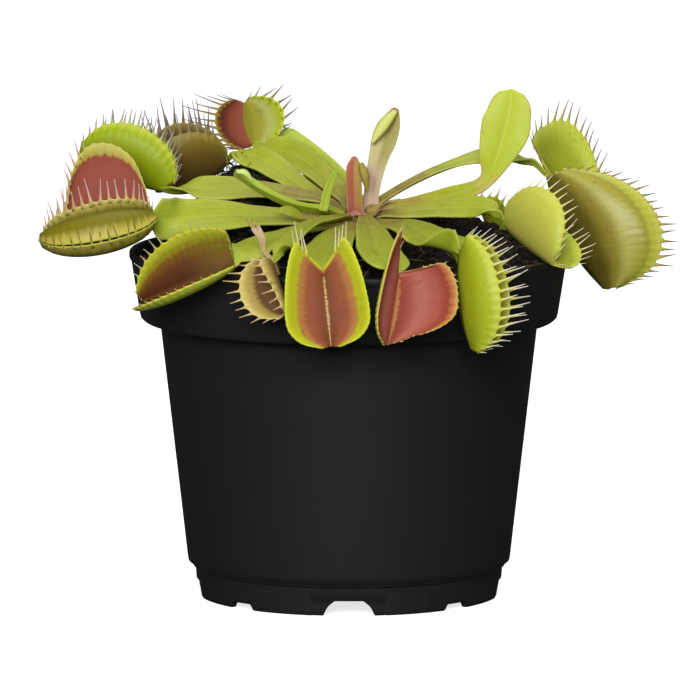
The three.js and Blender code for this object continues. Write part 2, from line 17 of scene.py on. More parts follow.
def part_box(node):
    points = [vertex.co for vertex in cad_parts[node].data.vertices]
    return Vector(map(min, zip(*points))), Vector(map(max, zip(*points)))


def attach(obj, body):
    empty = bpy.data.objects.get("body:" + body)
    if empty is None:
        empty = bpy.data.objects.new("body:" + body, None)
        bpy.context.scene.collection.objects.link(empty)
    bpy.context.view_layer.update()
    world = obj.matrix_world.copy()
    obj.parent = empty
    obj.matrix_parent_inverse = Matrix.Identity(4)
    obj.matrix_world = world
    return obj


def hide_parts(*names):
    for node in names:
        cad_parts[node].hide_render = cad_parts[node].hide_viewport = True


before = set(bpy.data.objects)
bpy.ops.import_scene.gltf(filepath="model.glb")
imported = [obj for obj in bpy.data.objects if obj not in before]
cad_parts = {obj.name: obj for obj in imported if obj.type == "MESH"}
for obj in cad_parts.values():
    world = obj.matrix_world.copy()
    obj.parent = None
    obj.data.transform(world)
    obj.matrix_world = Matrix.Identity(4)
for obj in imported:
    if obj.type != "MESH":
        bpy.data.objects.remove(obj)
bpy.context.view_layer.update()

MM = 0.001
CROWN = np.array([1.5, 0.0, 77.5])
PETIOLE_RINGS = 8


# ---------- small helpers ----------
def unit(v):
    return v / np.maximum(np.linalg.norm(v, axis=-1, keepdims=True), 1e-9)


def mix(a, b, t):
    return a + (b - a) * t


def ease(low, high, x):
    t = np.clip((x - low) / (high - low), 0, 1)
    return t * t * (3 - 2 * t)


def smooth_through(values, at, where):
    """Values known at stations `at`, read at `where` on a smooth curve through them."""
    slope = np.empty_like(values)
    span = (at[2:] - at[:-2]).reshape(-1, *([1] * (values.ndim - 1)))
    slope[1:-1] = (values[2:] - values[:-2]) / span
    slope[0] = (values[1] - values[0]) / (at[1] - at[0])
    slope[-1] = (values[-1] - values[-2]) / (at[-1] - at[-2])
    k = np.clip(np.searchsorted(at, where, side="right") - 1, 0, len(at) - 2)
    step = at[k + 1] - at[k]
    t = (where - at[k]) / step
    shape = (-1, *([1] * (values.ndim - 1)))
    t, step = t.reshape(shape), step.reshape(shape)
    return (
        (2 * t**3 - 3 * t**2 + 1) * values[k]
        + (t**3 - 2 * t**2 + t) * step * slope[k]
        + (3 * t**2 - 2 * t**3) * values[k + 1]
        + (t**3 - t**2) * step * slope[k + 1]
    )


def stations_of(rings):
    """How far each ring lies along the leaf, from the mean distance between rings."""
    steps = np.linalg.norm(np.diff(rings, axis=0), axis=2).mean(1)
    return np.concatenate([[0], np.cumsum(np.maximum(steps, 1e-3))])


def length_along(line):
    steps = np.linalg.norm(np.diff(line, axis=0), axis=1)
    return np.concatenate([[0], np.cumsum(steps)])


# ---------- sections of a CAD leaf ----------
def first_ring(node, nine, zero, other):
    """The section at the crown end, walked from point 9 to point 0 and on round its cap."""
    normal = (zero.co - nine.co).cross(other.co - nine.co).normalized()
    flat, queue = {zero}, [zero]
    while queue:
        here = queue.pop()
        for e in here.link_edges:
            there = e.other_vert(here)
            if there not in flat and abs((there.co - nine.co).dot(normal)) < 2e-5:
                flat.add(there)
                queue.append(there)
    ring = [nine, zero]
    while len(ring) < len(flat):
        for e in ring[-1].link_edges:
            there = e.other_vert(ring[-1])
            caps = sum(all(v in flat for v in f.verts) for f in e.link_faces)
            if there in flat and there not in ring and caps == 1:
                ring.append(there)
                break
        else:
            raise RuntimeError(f"{node}: its first section can't be followed")
    return ring[1:] + ring[:1]


def leaf_rings(node):
    """The ten-point sections that the CAD leaf was lofted through, crown end first.
    Points 0 to 4 run across the upper face and 5 to 9 come back along the lower one."""
    bm = bmesh.new()
    bm.from_mesh(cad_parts[node].data)
    bmesh.ops.remove_doubles(bm, verts=bm.verts, dist=2e-6)
    crown = Vector(CROWN * MM)
    ends = [v for v in bm.verts if len(v.link_edges) < 6]
    corners = sorted(ends, key=lambda v: (v.co - crown).length)[:4]
    nine = next(v for v in corners if len(v.link_edges) == 4)
    zeros = [v for v in corners if len(v.link_edges) == 5]
    zero = next(v for v in zeros if v in {e.other_vert(nine) for e in nine.link_edges})
    other = next(v for v in zeros if v is not zero)
    ring = first_ring(node, nine, zero, other)
    centre = (ring[0].co + ring[4].co + ring[5].co + ring[9].co) / 4
    if (ring[2].co - centre).length > (ring[7].co - centre).length:
        ring = ring[5:] + ring[:5]
    rings, seen = [ring], set(ring)
    while len(seen) < len(bm.verts):
        following = [None] * 10
        for i in range(10):
            a, b = ring[i], ring[(i + 1) % 10]
            near_a = {e.other_vert(a) for e in a.link_edges} - seen
            near_b = {e.other_vert(b) for e in b.link_edges} - seen
            following[(i + 1) % 10] = (near_a & near_b).pop()
        ring = following
        rings.append(ring)
        seen.update(ring)
    points = np.array([[v.co[:] for v in r] for r in rings]) / MM
    bm.free()
    return points


# ---------- a piece under construction ----------
class Piece:
    """Collects closed shells, with what each point knows of its place, and makes one mesh."""

    PLACES = ("along", "rim", "inner", "trap", "hand")

    def __init__(self, name):
        self.name = name
        self.points, self.faces, self.slots = [], [], []
        self.places = {k: [] for k in self.PLACES}
        self.count = 0

    def add(self, points, faces, places, slot=0):
        self.points.append(points)
        self.faces += [[i + self.count for i in f] for f in faces]
        self.slots += [slot] * len(faces)
        for k in self.PLACES:
            value = places.get(k, 0.0)
            self.places[k].append(np.broadcast_to(np.asarray(value, float), len(points)))
        self.count += len(points)

    def add_tube(self, grid, places):
        """A closed tube from a grid of sections, with a pole at each end."""
        rows, cols = grid.shape[:2]
        points = np.concatenate([grid.reshape(-1, 3), [grid[0].mean(0), grid[-1].mean(0)]])
        faces = []
        for r in range(rows - 1):
            for c in range(cols):
                d = (c + 1) % cols
                faces.append([r * cols + c, r * cols + d, (r + 1) * cols + d, (r + 1) * cols + c])
        start, end = rows * cols, rows * cols + 1
        for c in range(cols):
            d = (c + 1) % cols
            faces.append([start, d, c])
            faces.append([end, (rows - 1) * cols + c, (rows - 1) * cols + d])
        if shell_volume(points, faces) < 0:
            faces = [f[::-1] for f in faces]
        full = {}
        for k, v in places.items():
            v = np.broadcast_to(v, (rows, cols)).astype(float)
            full[k] = np.concatenate([v.ravel(), [v[0].mean(), v[-1].mean()]])
        self.add(points, faces, full)

    def add_mesh(self, mesh, places, slot):
        points = np.array([v.co[:] for v in mesh.vertices]) / MM
        faces = [list(p.vertices) for p in mesh.polygons]
        known = dict(places)
        for k in self.PLACES:
            if k in mesh.attributes:
                values = np.zeros(len(points))
                mesh.attributes[k].data.foreach_get("value", values)
                known[k] = values
        self.add(points, faces, known, slot)

    def build(self, materials, replaces=None):
        mesh = bpy.data.meshes.new(self.name)
        mesh.from_pydata(np.concatenate(self.points) * MM, [], self.faces)
        for k in self.PLACES:
            values = np.concatenate(self.places[k]).astype(np.float32)
            mesh.attributes.new(k, "FLOAT", "POINT").data.foreach_set("value", values)
        for m in materials:
            mesh.materials.append(m)
        mesh.polygons.foreach_set("material_index", self.slots)
        mesh.shade_smooth()
        mesh.update()
        return add_piece(self.name, mesh, replaces)


def shell_volume(points, faces):
    """Six times the volume in a shell, below zero where its faces point inwards."""
    total = 0.0
    for f in faces:
        a = points[f[0]]
        for i in range(1, len(f) - 1):
            total += np.dot(a, np.cross(points[f[i]], points[f[i + 1]]))
    return total


def add_piece(name, mesh, replaces=None):
    """Puts a finished mesh into the scene as a piece of the part."""
    piece = bpy.data.objects.new(name, mesh)
    bpy.context.scene.collection.objects.link(piece)
    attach(piece, "root")
    if replaces:
        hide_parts(replaces)
    return piece


# ---------- node trees ----------
def shade(red, green, blue):
    """A colour as a painter names it, turned into light."""
    def linear(c):
        c /= 255
        return c / 12.92 if c <= 0.04045 else ((c + 0.055) / 1.055) ** 2.4
    return (linear(red), linear(green), linear(blue), 1.0)


class NodeTree:
    """A node tree being put together."""

    def __init__(self, tree):
        self.tree = tree

    def feed(self, socket, value):
        """Links another node's output, or sets a plain value or a colour."""
        if isinstance(value, bpy.types.NodeSocket):
            self.tree.links.new(value, socket)
        elif socket.type == "RGBA":
            socket.default_value = shade(*value)
        else:
            socket.default_value = value

    def new(self, kind, inputs=None, **settings):
        made = self.tree.nodes.new(kind)
        for k, v in settings.items():
            setattr(made, k, v)
        for k, v in (inputs or {}).items():
            self.feed(made.inputs[k], v)
        return made

    def first(self, kind, inputs=None, **settings):
        """A new node's first output."""
        return self.new(kind, inputs, **settings).outputs[0]

    def figure(self, operation, a, b=0.0, c=0.0):
        return self.first("ShaderNodeMath", {0: a, 1: b, 2: c}, operation=operation)

    def vector(self, x, y, z):
        return self.first("ShaderNodeCombineXYZ", {0: x, 1: y, 2: z})


class Finish(NodeTree):
    """A material being put together."""

    def __init__(self, name, roughness, **shader_values):
        self.material = bpy.data.materials.new(name)
        self.material.use_nodes = True
        super().__init__(self.material.node_tree)
        self.shader = self.tree.nodes["Principled BSDF"]
        self.shader.inputs["Roughness"].default_value = roughness
        for socket, value in shader_values.items():
            self.shader.inputs[socket.replace("_", " ")].default_value = value
        self.object_place = self.new("ShaderNodeTexCoord").outputs["Object"]

    def place(self, name):
        return self.new("ShaderNodeAttribute", attribute_name=name).outputs["Fac"]

    def grain(self, scale, detail=3.0, roughness=0.55, at=None, distortion=0.0):
        sizes = {"Scale": scale, "Detail": detail, "Roughness": roughness, "Distortion": distortion}
        made = self.new("ShaderNodeTexNoise", {"Vector": at or self.object_place, **sizes})
        return made.outputs["Fac"]

    def ramp(self, share, stops):
        """Colours along a share. A stop is its place, then its red, green and blue."""
        made = self.new("ShaderNodeValToRGB", {0: share})
        made.color_ramp.interpolation = "EASE"
        marks = made.color_ramp.elements
        while len(marks) < len(stops):
            marks.new(0.5)
        for mark, (where, *colour) in zip(marks, stops):
            mark.position = where
            mark.color = shade(*colour)
        return made.outputs[0]

    def fade(self, share, start, end):
        """An amount that goes from one level to another. Each end is its place and its level."""
        made = self.new("ShaderNodeValToRGB", {0: share})
        made.color_ramp.interpolation = "EASE"
        for mark, (where, level) in zip(made.color_ramp.elements, (start, end)):
            mark.position = where
            mark.color = (level, level, level, 1)
        return made.outputs[0]

    def blend(self, share, a, b):
        made = self.new("ShaderNodeMix", data_type="RGBA")
        for socket, value in ((0, share), (6, a), (7, b)):
            self.feed(made.inputs[socket], value)
        return made.outputs[2]

    def bump(self, height, distance, strength):
        sizes = {"Distance": distance * MM, "Strength": strength}
        made = self.first("ShaderNodeBump", {"Height": height, **sizes})
        self.feed(self.shader.inputs["Normal"], made)

    def colour(self, value):
        self.feed(self.shader.inputs["Base Color"], value)
        return self.material


class Growth(NodeTree):
    """A geometry node tree being put together, with a named input for each of its sizes."""

    def __init__(self, name, base, **sizes):
        super().__init__(bpy.data.node_groups.new(name, "GeometryNodeTree"))
        self.add_input(base, "Geometry")
        for size, value in sizes.items():
            kind = "Int" if isinstance(value, int) else "Float"
            self.add_input(size.replace("_", " ").capitalize(), kind).default_value = value
        self.add_input("Finish", "Material")
        self.tree.interface.new_socket("Grown", in_out="OUTPUT", socket_type="NodeSocketGeometry")
        self.given = self.new("NodeGroupInput").outputs

    def add_input(self, title, kind):
        return self.tree.interface.new_socket(title, in_out="INPUT", socket_type="NodeSocket" + kind)

    def finished(self, solid):
        """Gives the grown solid its finish and makes it what the tree puts out."""
        inputs = {"Geometry": solid, "Material": self.given["Finish"]}
        self.new("NodeGroupOutput", {0: self.first("GeometryNodeSetMaterial", inputs)})
        return self.tree


# ---------- leaf materials ----------
def petiole_colour(f, look, at, second, mottle, veins):
    """Colours from crown to tip, with a pale rib, dark veins, a worn edge and an underside darkened as
    painted shade.
    """
    shift = f.figure("MULTIPLY_ADD", f.figure("SUBTRACT", mottle, 0.5), 0.3, at["along"])
    stalk = f.ramp(shift, look["petiole"])
    if "petiole_second" in look:
        stalk = f.blend(second, stalk, f.ramp(shift, look["petiole_second"]))
    stalk = f.blend(f.figure("MULTIPLY", mottle, 0.5), stalk, look["petiole_light"])
    rib = f.fade(at["rim"], (0.0, 0.5), (0.1, 0.0))
    stalk = f.blend(f.figure("MULTIPLY", rib, 0.6), stalk, look["petiole_light"])
    stalk = f.blend(f.fade(veins, (0.5, 0.0), (0.75, look["veined"])), stalk, look["petiole_veins_and_shade"])
    stalk = f.blend(f.fade(at["rim"], (0.86, 0.0), (1.0, 0.3)), stalk, look["petiole_edge"])
    # painted shade: the lower face is blended towards the dark vein colour
    under = f.figure("SUBTRACT", 1.0, at["inner"])
    return f.blend(f.figure("MULTIPLY", under, 0.45), stalk, look["petiole_veins_and_shade"])


def trap_colour(f, look, at, second, mottle, streaks):
    """Colours from hinge to rim, inside and outside."""
    streaked = f.figure("SUBTRACT", streaks, 0.5)
    wander = f.figure("MULTIPLY_ADD", streaked, look["wander"], at["rim"])
    flesh = f.ramp(wander, look["inner"])
    if "inner_second" in look:
        flesh = f.blend(second, flesh, f.ramp(wander, look["inner_second"]))
    if "inner_near" in look:
        start = f.fade(at["along"], (0.1, 0.9), (0.55, 0.0))
        flesh = f.blend(start, flesh, f.ramp(wander, look["inner_near"]))
    spots = f.fade(f.grain(420, 4.0, 0.7), (0.56, 0.0), (0.72, 1.0))
    flesh = f.blend(f.figure("MULTIPLY", spots, 0.3), flesh, look["inner_dark"])
    skin = f.ramp(wander, look["outer"])
    skin = f.blend(f.figure("MULTIPLY", mottle, 0.35), skin, look["outer_light"])
    return f.blend(at["inner"], skin, flesh)


def leaf_finish(name, look):
    """Living leaf: a petiole, a trap where there is one, and crumbs of peat on both."""
    f = Finish(
        name,
        roughness=look["roughness"],
        Specular_IOR_Level=look["shine"],
        Subsurface_Weight=0.12,
        Subsurface_Scale=0.0015,
        Subsurface_Radius=(0.7, 1.0, 0.25),
    )
    at = {k: f.place(k) for k in Piece.PLACES}
    mottle = f.grain(260, 4.0)
    down_the_lobe = f.figure("MULTIPLY", at["along"], 46)
    toward_the_rim = f.figure("MULTIPLY", at["rim"], 0.55)
    streaks = f.grain(1.0, 3.0, at=f.vector(down_the_lobe, toward_the_rim, at["hand"]))
    down_the_petiole = f.figure("MULTIPLY", at["along"], 5.0)
    across = f.figure("MULTIPLY", f.figure("MULTIPLY", at["rim"], at["hand"]), 11.0)
    veins = f.grain(1.0, 3.0, at=f.vector(down_the_petiole, across, 0.0))
    second = f.figure("GREATER_THAN", at["hand"], 0.0)

    stalk = petiole_colour(f, look, at, second, mottle, veins)
    tint = f.blend(at["trap"], stalk, trap_colour(f, look, at, second, mottle, streaks))
    crumbs = f.fade(f.grain(1900, 2.0, 0.7), (0.69, 0.0), (0.74, 0.7))
    tint = f.blend(crumbs, tint, look["speck"])

    petiole_lines = f.figure("MULTIPLY", veins, look["veined"] + 0.1)
    lines = f.blend(at["trap"], petiole_lines, f.figure("MULTIPLY", streaks, 0.4))
    f.bump(f.figure("MULTIPLY_ADD", f.grain(1100, 3.0), 0.25, lines), 0.26, 0.6)
    dull = f.figure("MULTIPLY", f.figure("MULTIPLY", at["inner"], at["trap"]), 0.2)
    f.feed(f.shader.inputs["Roughness"], f.figure("ADD", dull, look["roughness"]))
    return f.colour(tint)


def firm_finish(name, roughness):
    """Plant tissue that lets in less light than a leaf does."""
    return Finish(
        name,
        roughness=roughness,
        Specular_IOR_Level=0.35,
        Subsurface_Weight=0.1,
        Subsurface_Scale=0.001,
    )


def tooth_finish(name, rim, root, tip):
    f = firm_finish(name, 0.45)
    worn = f.figure("MULTIPLY_ADD", f.grain(900, 3.0), 0.35, f.place("along"))
    f.bump(f.grain(2500, 2.0), 0.05, 0.4)
    return f.colour(f.ramp(worn, [(0.2, *rim), (0.36, *root), (0.8, *tip)]))


# ---------- teeth ----------
def teeth_tree():
    """Teeth that stand in a row on a rim line. The line carries the way each tooth points
    ("points"), the way the lobe faces there ("faces") and how long teeth grow there ("grows")."""
    g = Growth(
        "teeth_along_a_rim",
        "Rim line",
        count=16,
        length=0.004,
        root_radius=0.0006,
        tip_radius=0.00008,
        bend=0.15,
        spread=0.12,
        uneven=0.25,
        seed=1,
    )
    given = g.given

    # one tooth, a unit high: a bent line with a radius that falls fast above the root
    middle = g.vector(0.0, given["Bend"], 0.5)
    line = g.first(
        "GeometryNodeCurveQuadraticBezier",
        {"Resolution": 6, "Start": (0, 0, -0.12), "Middle": middle, "End": (0, 0, 1)},
    )
    share = g.new("GeometryNodeSplineParameter").outputs["Factor"]
    left = g.figure("SUBTRACT", 1.0, share)
    slope = g.figure("MULTIPLY", left, 0.32)
    flare = g.figure("MULTIPLY_ADD", g.figure("POWER", left, 3.5), 0.68, slope)
    thin = g.figure("DIVIDE", given["Root radius"], given["Length"])
    tip = g.figure("DIVIDE", given["Tip radius"], given["Length"])
    radius = g.figure("MULTIPLY_ADD", flare, thin, tip)
    marked = g.first(
        "GeometryNodeStoreNamedAttribute",
        {"Geometry": line, "Name": "along", "Value": share},
        data_type="FLOAT",
        domain="POINT",
    )
    ring = g.first("GeometryNodeCurvePrimitiveCircle", {"Resolution": 7, "Radius": 1.0})
    tooth = g.first(
        "GeometryNodeCurveToMesh",
        {"Curve": marked, "Profile Curve": ring, "Scale": radius, "Fill Caps": True},
    )

    # where the teeth stand and how each one is turned and sized
    path = g.first("GeometryNodeMeshToCurve", {"Mesh": given["Rim line"]})
    row = g.first("GeometryNodeResampleCurve", {"Curve": path, "Count": given["Count"]}, mode="COUNT")

    def carried(name, kind):
        made = g.new("GeometryNodeInputNamedAttribute", {"Name": name}, data_type=kind)
        return made.outputs["Attribute"]

    stray = g.first(
        "FunctionNodeRandomValue",
        {"Min": (-1, -1, -1), "Max": (1, 1, 1), "Seed": given["Seed"]},
        data_type="FLOAT_VECTOR",
    )
    strayed = g.first("ShaderNodeVectorMath", {0: stray, "Scale": given["Spread"]}, operation="SCALE")
    points = carried("points", "FLOAT_VECTOR")
    way = g.first("ShaderNodeVectorMath", {0: points, 1: strayed}, operation="ADD")
    turn = g.first(
        "FunctionNodeAxesToRotation",
        {"Primary Axis": way, "Secondary Axis": carried("faces", "FLOAT_VECTOR")},
        primary_axis="Z",
        secondary_axis="Y",
    )
    odd = g.new(
        "FunctionNodeRandomValue",
        {"Min": -1.0, "Max": 1.0, "Seed": g.figure("ADD", given["Seed"], 7.0)},
        data_type="FLOAT",
    ).outputs[1]
    grows = carried("grows", "FLOAT")
    unevenly = g.figure("MULTIPLY_ADD", odd, given["Uneven"], 1.0)
    high = g.figure("MULTIPLY", g.figure("MULTIPLY", unevenly, grows), given["Length"])
    wide = g.figure("MULTIPLY", given["Length"], g.figure("MULTIPLY_ADD", grows, 0.65, 0.35))
    size = g.vector(wide, g.figure("MULTIPLY", wide, 0.45), high)
    grown = g.first(
        "GeometryNodeInstanceOnPoints",
        {"Points": row, "Instance": tooth, "Rotation": turn, "Scale": size},
    )
    return g.finished(g.first("GeometryNodeRealizeInstances", {"Geometry": grown}))


def grown_mesh(name, base_mesh, tree, **inputs):
    """The plain mesh that a node tree makes on a base mesh."""
    carrier = bpy.data.objects.new(name + "_carrier", base_mesh)
    bpy.context.scene.collection.objects.link(carrier)
    modifier = carrier.modifiers.new(name, "NODES")
    modifier.node_group = tree
    wanted = {k.replace("_", " ").capitalize(): v for k, v in inputs.items()}
    for item in tree.interface.items_tree:
        if item.in_out == "INPUT" and item.name in wanted:
            modifier[item.identifier] = wanted.pop(item.name)
    if wanted:
        raise RuntimeError(f"{tree.name} has no input named {sorted(wanted)}")
    evaluated = carrier.evaluated_get(bpy.context.evaluated_depsgraph_get())
    mesh = bpy.data.meshes.new_from_object(evaluated)
    carrier.modifiers.clear()
    bpy.data.objects.remove(carrier)
    mesh.name = name
    return mesh


def line_mesh(name, line, **fields):
    mesh = bpy.data.meshes.new(name)
    mesh.from_pydata(line * MM, [(i, i + 1) for i in range(len(line) - 1)], [])
    for k, values in fields.items():
        values = np.asarray(values, np.float32)
        if values.ndim == 2:
            made = mesh.attributes.new(k, "FLOAT_VECTOR", "POINT")
            made.data.foreach_set("vector", values.ravel())
        else:
            mesh.attributes.new(k, "FLOAT", "POINT").data.foreach_set("value", values)
    return mesh


# ---------- petioles ----------
HALF_STEPS = 9
PETIOLE_STEPS = 44
NECK_WIDTH = 0.75
SMALLEST_TIP = 0.7
CORNERS = [0, 4, 5, 9]
BETWEEN_CORNERS = [1, 3, 6, 8]


def three_point(a, b, c, t):
    """The parabola through a, b and c, read at t from 0 (a) to 1 (c)."""
    t = t.reshape(1, -1, 1)
    a, b, c = a[:, None], b[:, None], c[:, None]
    return a * (2 * t - 1) * (t - 1) + b * 4 * t * (1 - t) + c * t * (2 * t - 1)


def section_grid(rings, middle_at=0.5):
    """Finer sections: both faces from edge to edge, with rounded edges between them. Each point
    also gets its share of the way from rib to rim, its face and its hand."""
    t = np.linspace(0, 1, HALF_STEPS + 1)
    bent = t if middle_at == 0.5 else t ** (math.log(0.5) / math.log(1 - middle_at))
    p = [rings[:, i] for i in range(10)]
    upper_left = three_point(p[0], p[1], p[2], bent)[:, :-1]
    upper_right = three_point(p[4], p[3], p[2], bent)[:, ::-1]
    lower_right = three_point(p[5], p[6], p[7], bent)[:, :-1]
    lower_left = three_point(p[9], p[8], p[7], bent)[:, ::-1]

    def rounded(top, bottom, inside):
        middle = (top + bottom) / 2
        out = unit(middle - inside) * np.linalg.norm(top - bottom, axis=1, keepdims=True) / 2
        sides = [middle + out * 0.8 + (end - middle) * 0.6 for end in (top, bottom)]
        return np.stack(sides, 1)

    right = rounded(p[4], p[5], (p[3] + p[6]) / 2)
    left = rounded(p[9], p[0], (p[8] + p[1]) / 2)
    grid = np.concatenate([upper_left, upper_right, right, lower_right, lower_left, left], 1)
    face, wing = np.ones(2 * HALF_STEPS + 1), np.ones(HALF_STEPS)
    to_rim = [1 - t[:-1], t, [1.02, 1.02]]
    rim = np.concatenate(to_rim + to_rim)
    inner = np.concatenate([face, [0.7, 0.3], 0 * face, [0.3, 0.7]])
    hand = np.concatenate([-wing, wing, [1, 1, 1], wing, -wing, [-1, -1, -1]])
    return grid, rim, inner, hand


def with_ends(rings, way, look, joint):
    """A petiole's sections, grown on into the crown and out to its tip or the trap's joint."""
    middle = rings[:, CORNERS].mean(1)
    first = (rings[0] - middle[0]) * 0.75 + mix(middle[0], CROWN, 0.62)
    close = (rings[0] - middle[0]) * 0.95 + mix(middle[0], CROWN, 0.3)
    if joint is None:
        end_width = np.linalg.norm(rings[-1, 4] - rings[-1, 0]) / 2
        tip = look["tip_length"] * max(end_width, SMALLEST_TIP)
        half_way, end = middle[-1] + way * tip * 0.62, middle[-1] + way * tip
    else:
        half_way, end = mix(middle[-1], joint, 0.6), joint
    last = [(rings[-1] - middle[-1]) * 0.8 + half_way, (rings[-1] - middle[-1]) * 0.4 + end]
    return np.concatenate([[first, close], rings, last])


def petiole_width(half, along, look, has_trap):
    """Half a petiole's width: broader than its CAD sections, then a neck before a trap."""
    wide = half * mix(1, look["broad"], ease(0.1, 0.4, along))
    if not has_trap:
        return wide
    wide = wide + ease(0.45, 0.75, along) * np.maximum(0, look["wide_end"] - wide)
    neck = ease(look["shoulder"], look["shoulder"] + 0.05, along)
    return mix(wide, np.minimum(wide, NECK_WIDTH), neck)


def round_off(grid, middle, half, along, start_share):
    """Narrows a leaf to a round end, from a share of its length on."""
    start = np.searchsorted(along, start_share)
    for r in range(start, len(along)):
        t = (along[r] - start_share) / (1 - start_share)
        wanted = half[start] * math.sqrt(max(0.0, 1 - t * t))
        grid[r] = middle[r] + (grid[r] - middle[r]) * max(0.04, wanted / half[r])


def tear(grid, rim, along, reach, seed):
    """Tears a leaf's end, most at its edges."""
    torn = ease(0.8, 1.0, along)
    for r in range(len(along)):
        for c in range(len(rim)):
            spot = Vector((grid[r, c, 0] * 0.9, grid[r, c, 1] * 0.9, seed))
            grid[r, c] += reach * noise.noise(spot) * torn[r] * np.clip(rim[c], 0, 1)


def add_petiole(piece, rings, look, seed, joint=None):
    """The flat, winged stalk of a leaf."""
    rings = rings.copy()
    width = np.linalg.norm(rings[:, 4] - rings[:, 0], axis=1) / 2
    out = unit(rings[:, 2] - rings[:, 7])
    for i in BETWEEN_CORNERS:
        rings[:, i] += out * (0.05 * width)[:, None]
    way = unit(rings[-1, CORNERS].mean(0) - rings[-2, CORNERS].mean(0))
    rings = with_ends(rings, way, look, joint)
    at = stations_of(rings)
    where = np.linspace(0, at[-1], PETIOLE_STEPS)
    along = where / at[-1]
    fine = smooth_through(rings, at, where)
    fine[:, :, 2] += (look["arched"] * np.sin(math.pi * along) ** 2)[:, None]
    grid, rim, inner, hand = section_grid(fine)
    middle = fine[:, CORNERS].mean(1)
    side = unit(fine[:, 4] - fine[:, 0])
    up = unit(fine[:, 2] - fine[:, 7])
    half = np.linalg.norm(fine[:, 4] - fine[:, 0], axis=1) / 2
    wave = np.sin(along * 23 + seed) * 0.5 + np.sin(along * 41 + seed * 2.3) * 0.3
    lift = (0.045 * half * wave)[:, None] * np.clip(rim, 0, 1) ** 2 * hand
    grid = grid + lift[:, :, None] * up[:, None]
    wide = petiole_width(half, along, look, joint is not None)
    across = ((grid - middle[:, None]) * side[:, None]).sum(2)
    grid = grid - side[:, None] * (across * (1 - wide / half)[:, None])[:, :, None]
    if look["round_from"] < 1:
        round_off(grid, middle, half, along, look["round_from"])
    if look["ragged"]:
        tear(grid, rim, along, way * look["ragged"], seed)
    known = {"along": along[:, None], "rim": rim[None], "inner": inner[None], "hand": hand[None]}
    piece.add_tube(grid, known)


SHOOT_STEPS, SHOOT_SIDES = 36, 24


def add_shoot(piece, path, half_widths, half_depths, face, places, crease=0.0):
    """A small solid shoot along a path, flattened towards `face`, with a crease down its front."""
    path, face = np.array(path, float), np.array(face, float)
    at = length_along(path)
    where = np.linspace(0, at[-1], SHOOT_STEPS)
    line = smooth_through(path, at, where)
    share = where / at[-1]
    forward = unit(np.gradient(line, axis=0))
    side = unit(np.cross(forward, face))
    out = np.cross(side, forward)
    marks = np.linspace(0, 1, len(half_widths))
    wide, deep = np.interp(share, marks, half_widths), np.interp(share, marks, half_depths)
    turn = np.linspace(0, 2 * math.pi, SHOOT_SIDES, endpoint=False)
    front = np.clip(np.sin(turn), 0, 1) ** 6
    across = wide[:, None] * np.cos(turn)
    up = deep[:, None] * (np.sin(turn) - crease * front)
    grid = line[:, None] + side[:, None] * across[:, :, None] + out[:, None] * up[:, :, None]
    rim, hand = np.abs(np.cos(turn)), np.sign(np.cos(turn))
    piece.add_tube(grid, {"along": share[:, None], "rim": rim[None], "hand": hand[None], **places})


# ---------- traps ----------
TRAP_STEPS = 110
LOBE_MIDDLE = 0.55
HINGE_TAIL, HINGE_NOSE = 0.7, 0.4
TAIL_BULGE, NOSE_BULGE = 0.25, 0.3
TEETH_END = 1.05
TOOTH_POINT, TOOTH_UNEVEN = 0.07, 0.22
SUNK_ROOT = 0.25
FEWEST_TEETH = 3


def closing(ring, hinge_end, pole, bulge):
    """Three smaller and smaller copies of a trap's end section, the smallest first."""
    made = []
    for size, inward, bulging in ((0.04, 0.0, 0.0), (0.36, 0.35, 0.3), (0.72, 0.7, 1.0)):
        centre = mix(pole, hinge_end, inward)
        made.append(centre + (ring - centre) * size + bulge * bulging)
    return made


def trap_grid(rings):
    """Both lobes of a trap, closed at each end of the hinge."""
    hinge = (rings[:, 2] + rings[:, 7]) / 2
    axis = unit(hinge[-1] - hinge[0])
    start = closing(rings[0], hinge[0], hinge[0] - axis * HINGE_TAIL, -axis * TAIL_BULGE)
    end = closing(rings[-1], hinge[-1], hinge[-1] + axis * HINGE_NOSE, axis * NOSE_BULGE)
    full = np.concatenate([start, rings, end[::-1]])
    at = stations_of(full)
    where = np.linspace(0, at[-1], TRAP_STEPS)
    grid, rim, inner, hand = section_grid(smooth_through(full, at, where), LOBE_MIDDLE)
    share = (where - at[2]) / (at[-3] - at[2])
    return grid, rim, inner, hand, share, where / at[-1]


def fill_out(grid, rim, mine, share, look):
    """Makes one lobe fuller away from its hinge, and draws out its ears at the joint end."""
    across = 2 * HALF_STEPS + 1
    hinge = (grid[:, HALF_STEPS] + grid[:, across + 2 + HALF_STEPS]) / 2
    fuller = look["fuller"] * np.sin(math.pi * np.clip((share - 0.2) / 0.8, 0, 1))
    grid += (grid - hinge[:, None]) * (fuller[:, None] * mine)[:, :, None]
    eared = look["ears"] * np.clip(1 - share / 0.45, 0, 1)
    toward = unit(hinge[0] - hinge[-1])
    grid += toward * (eared[:, None] * (0.4 + 0.6 * np.clip(rim, 0, 1)) * mine)[:, :, None]


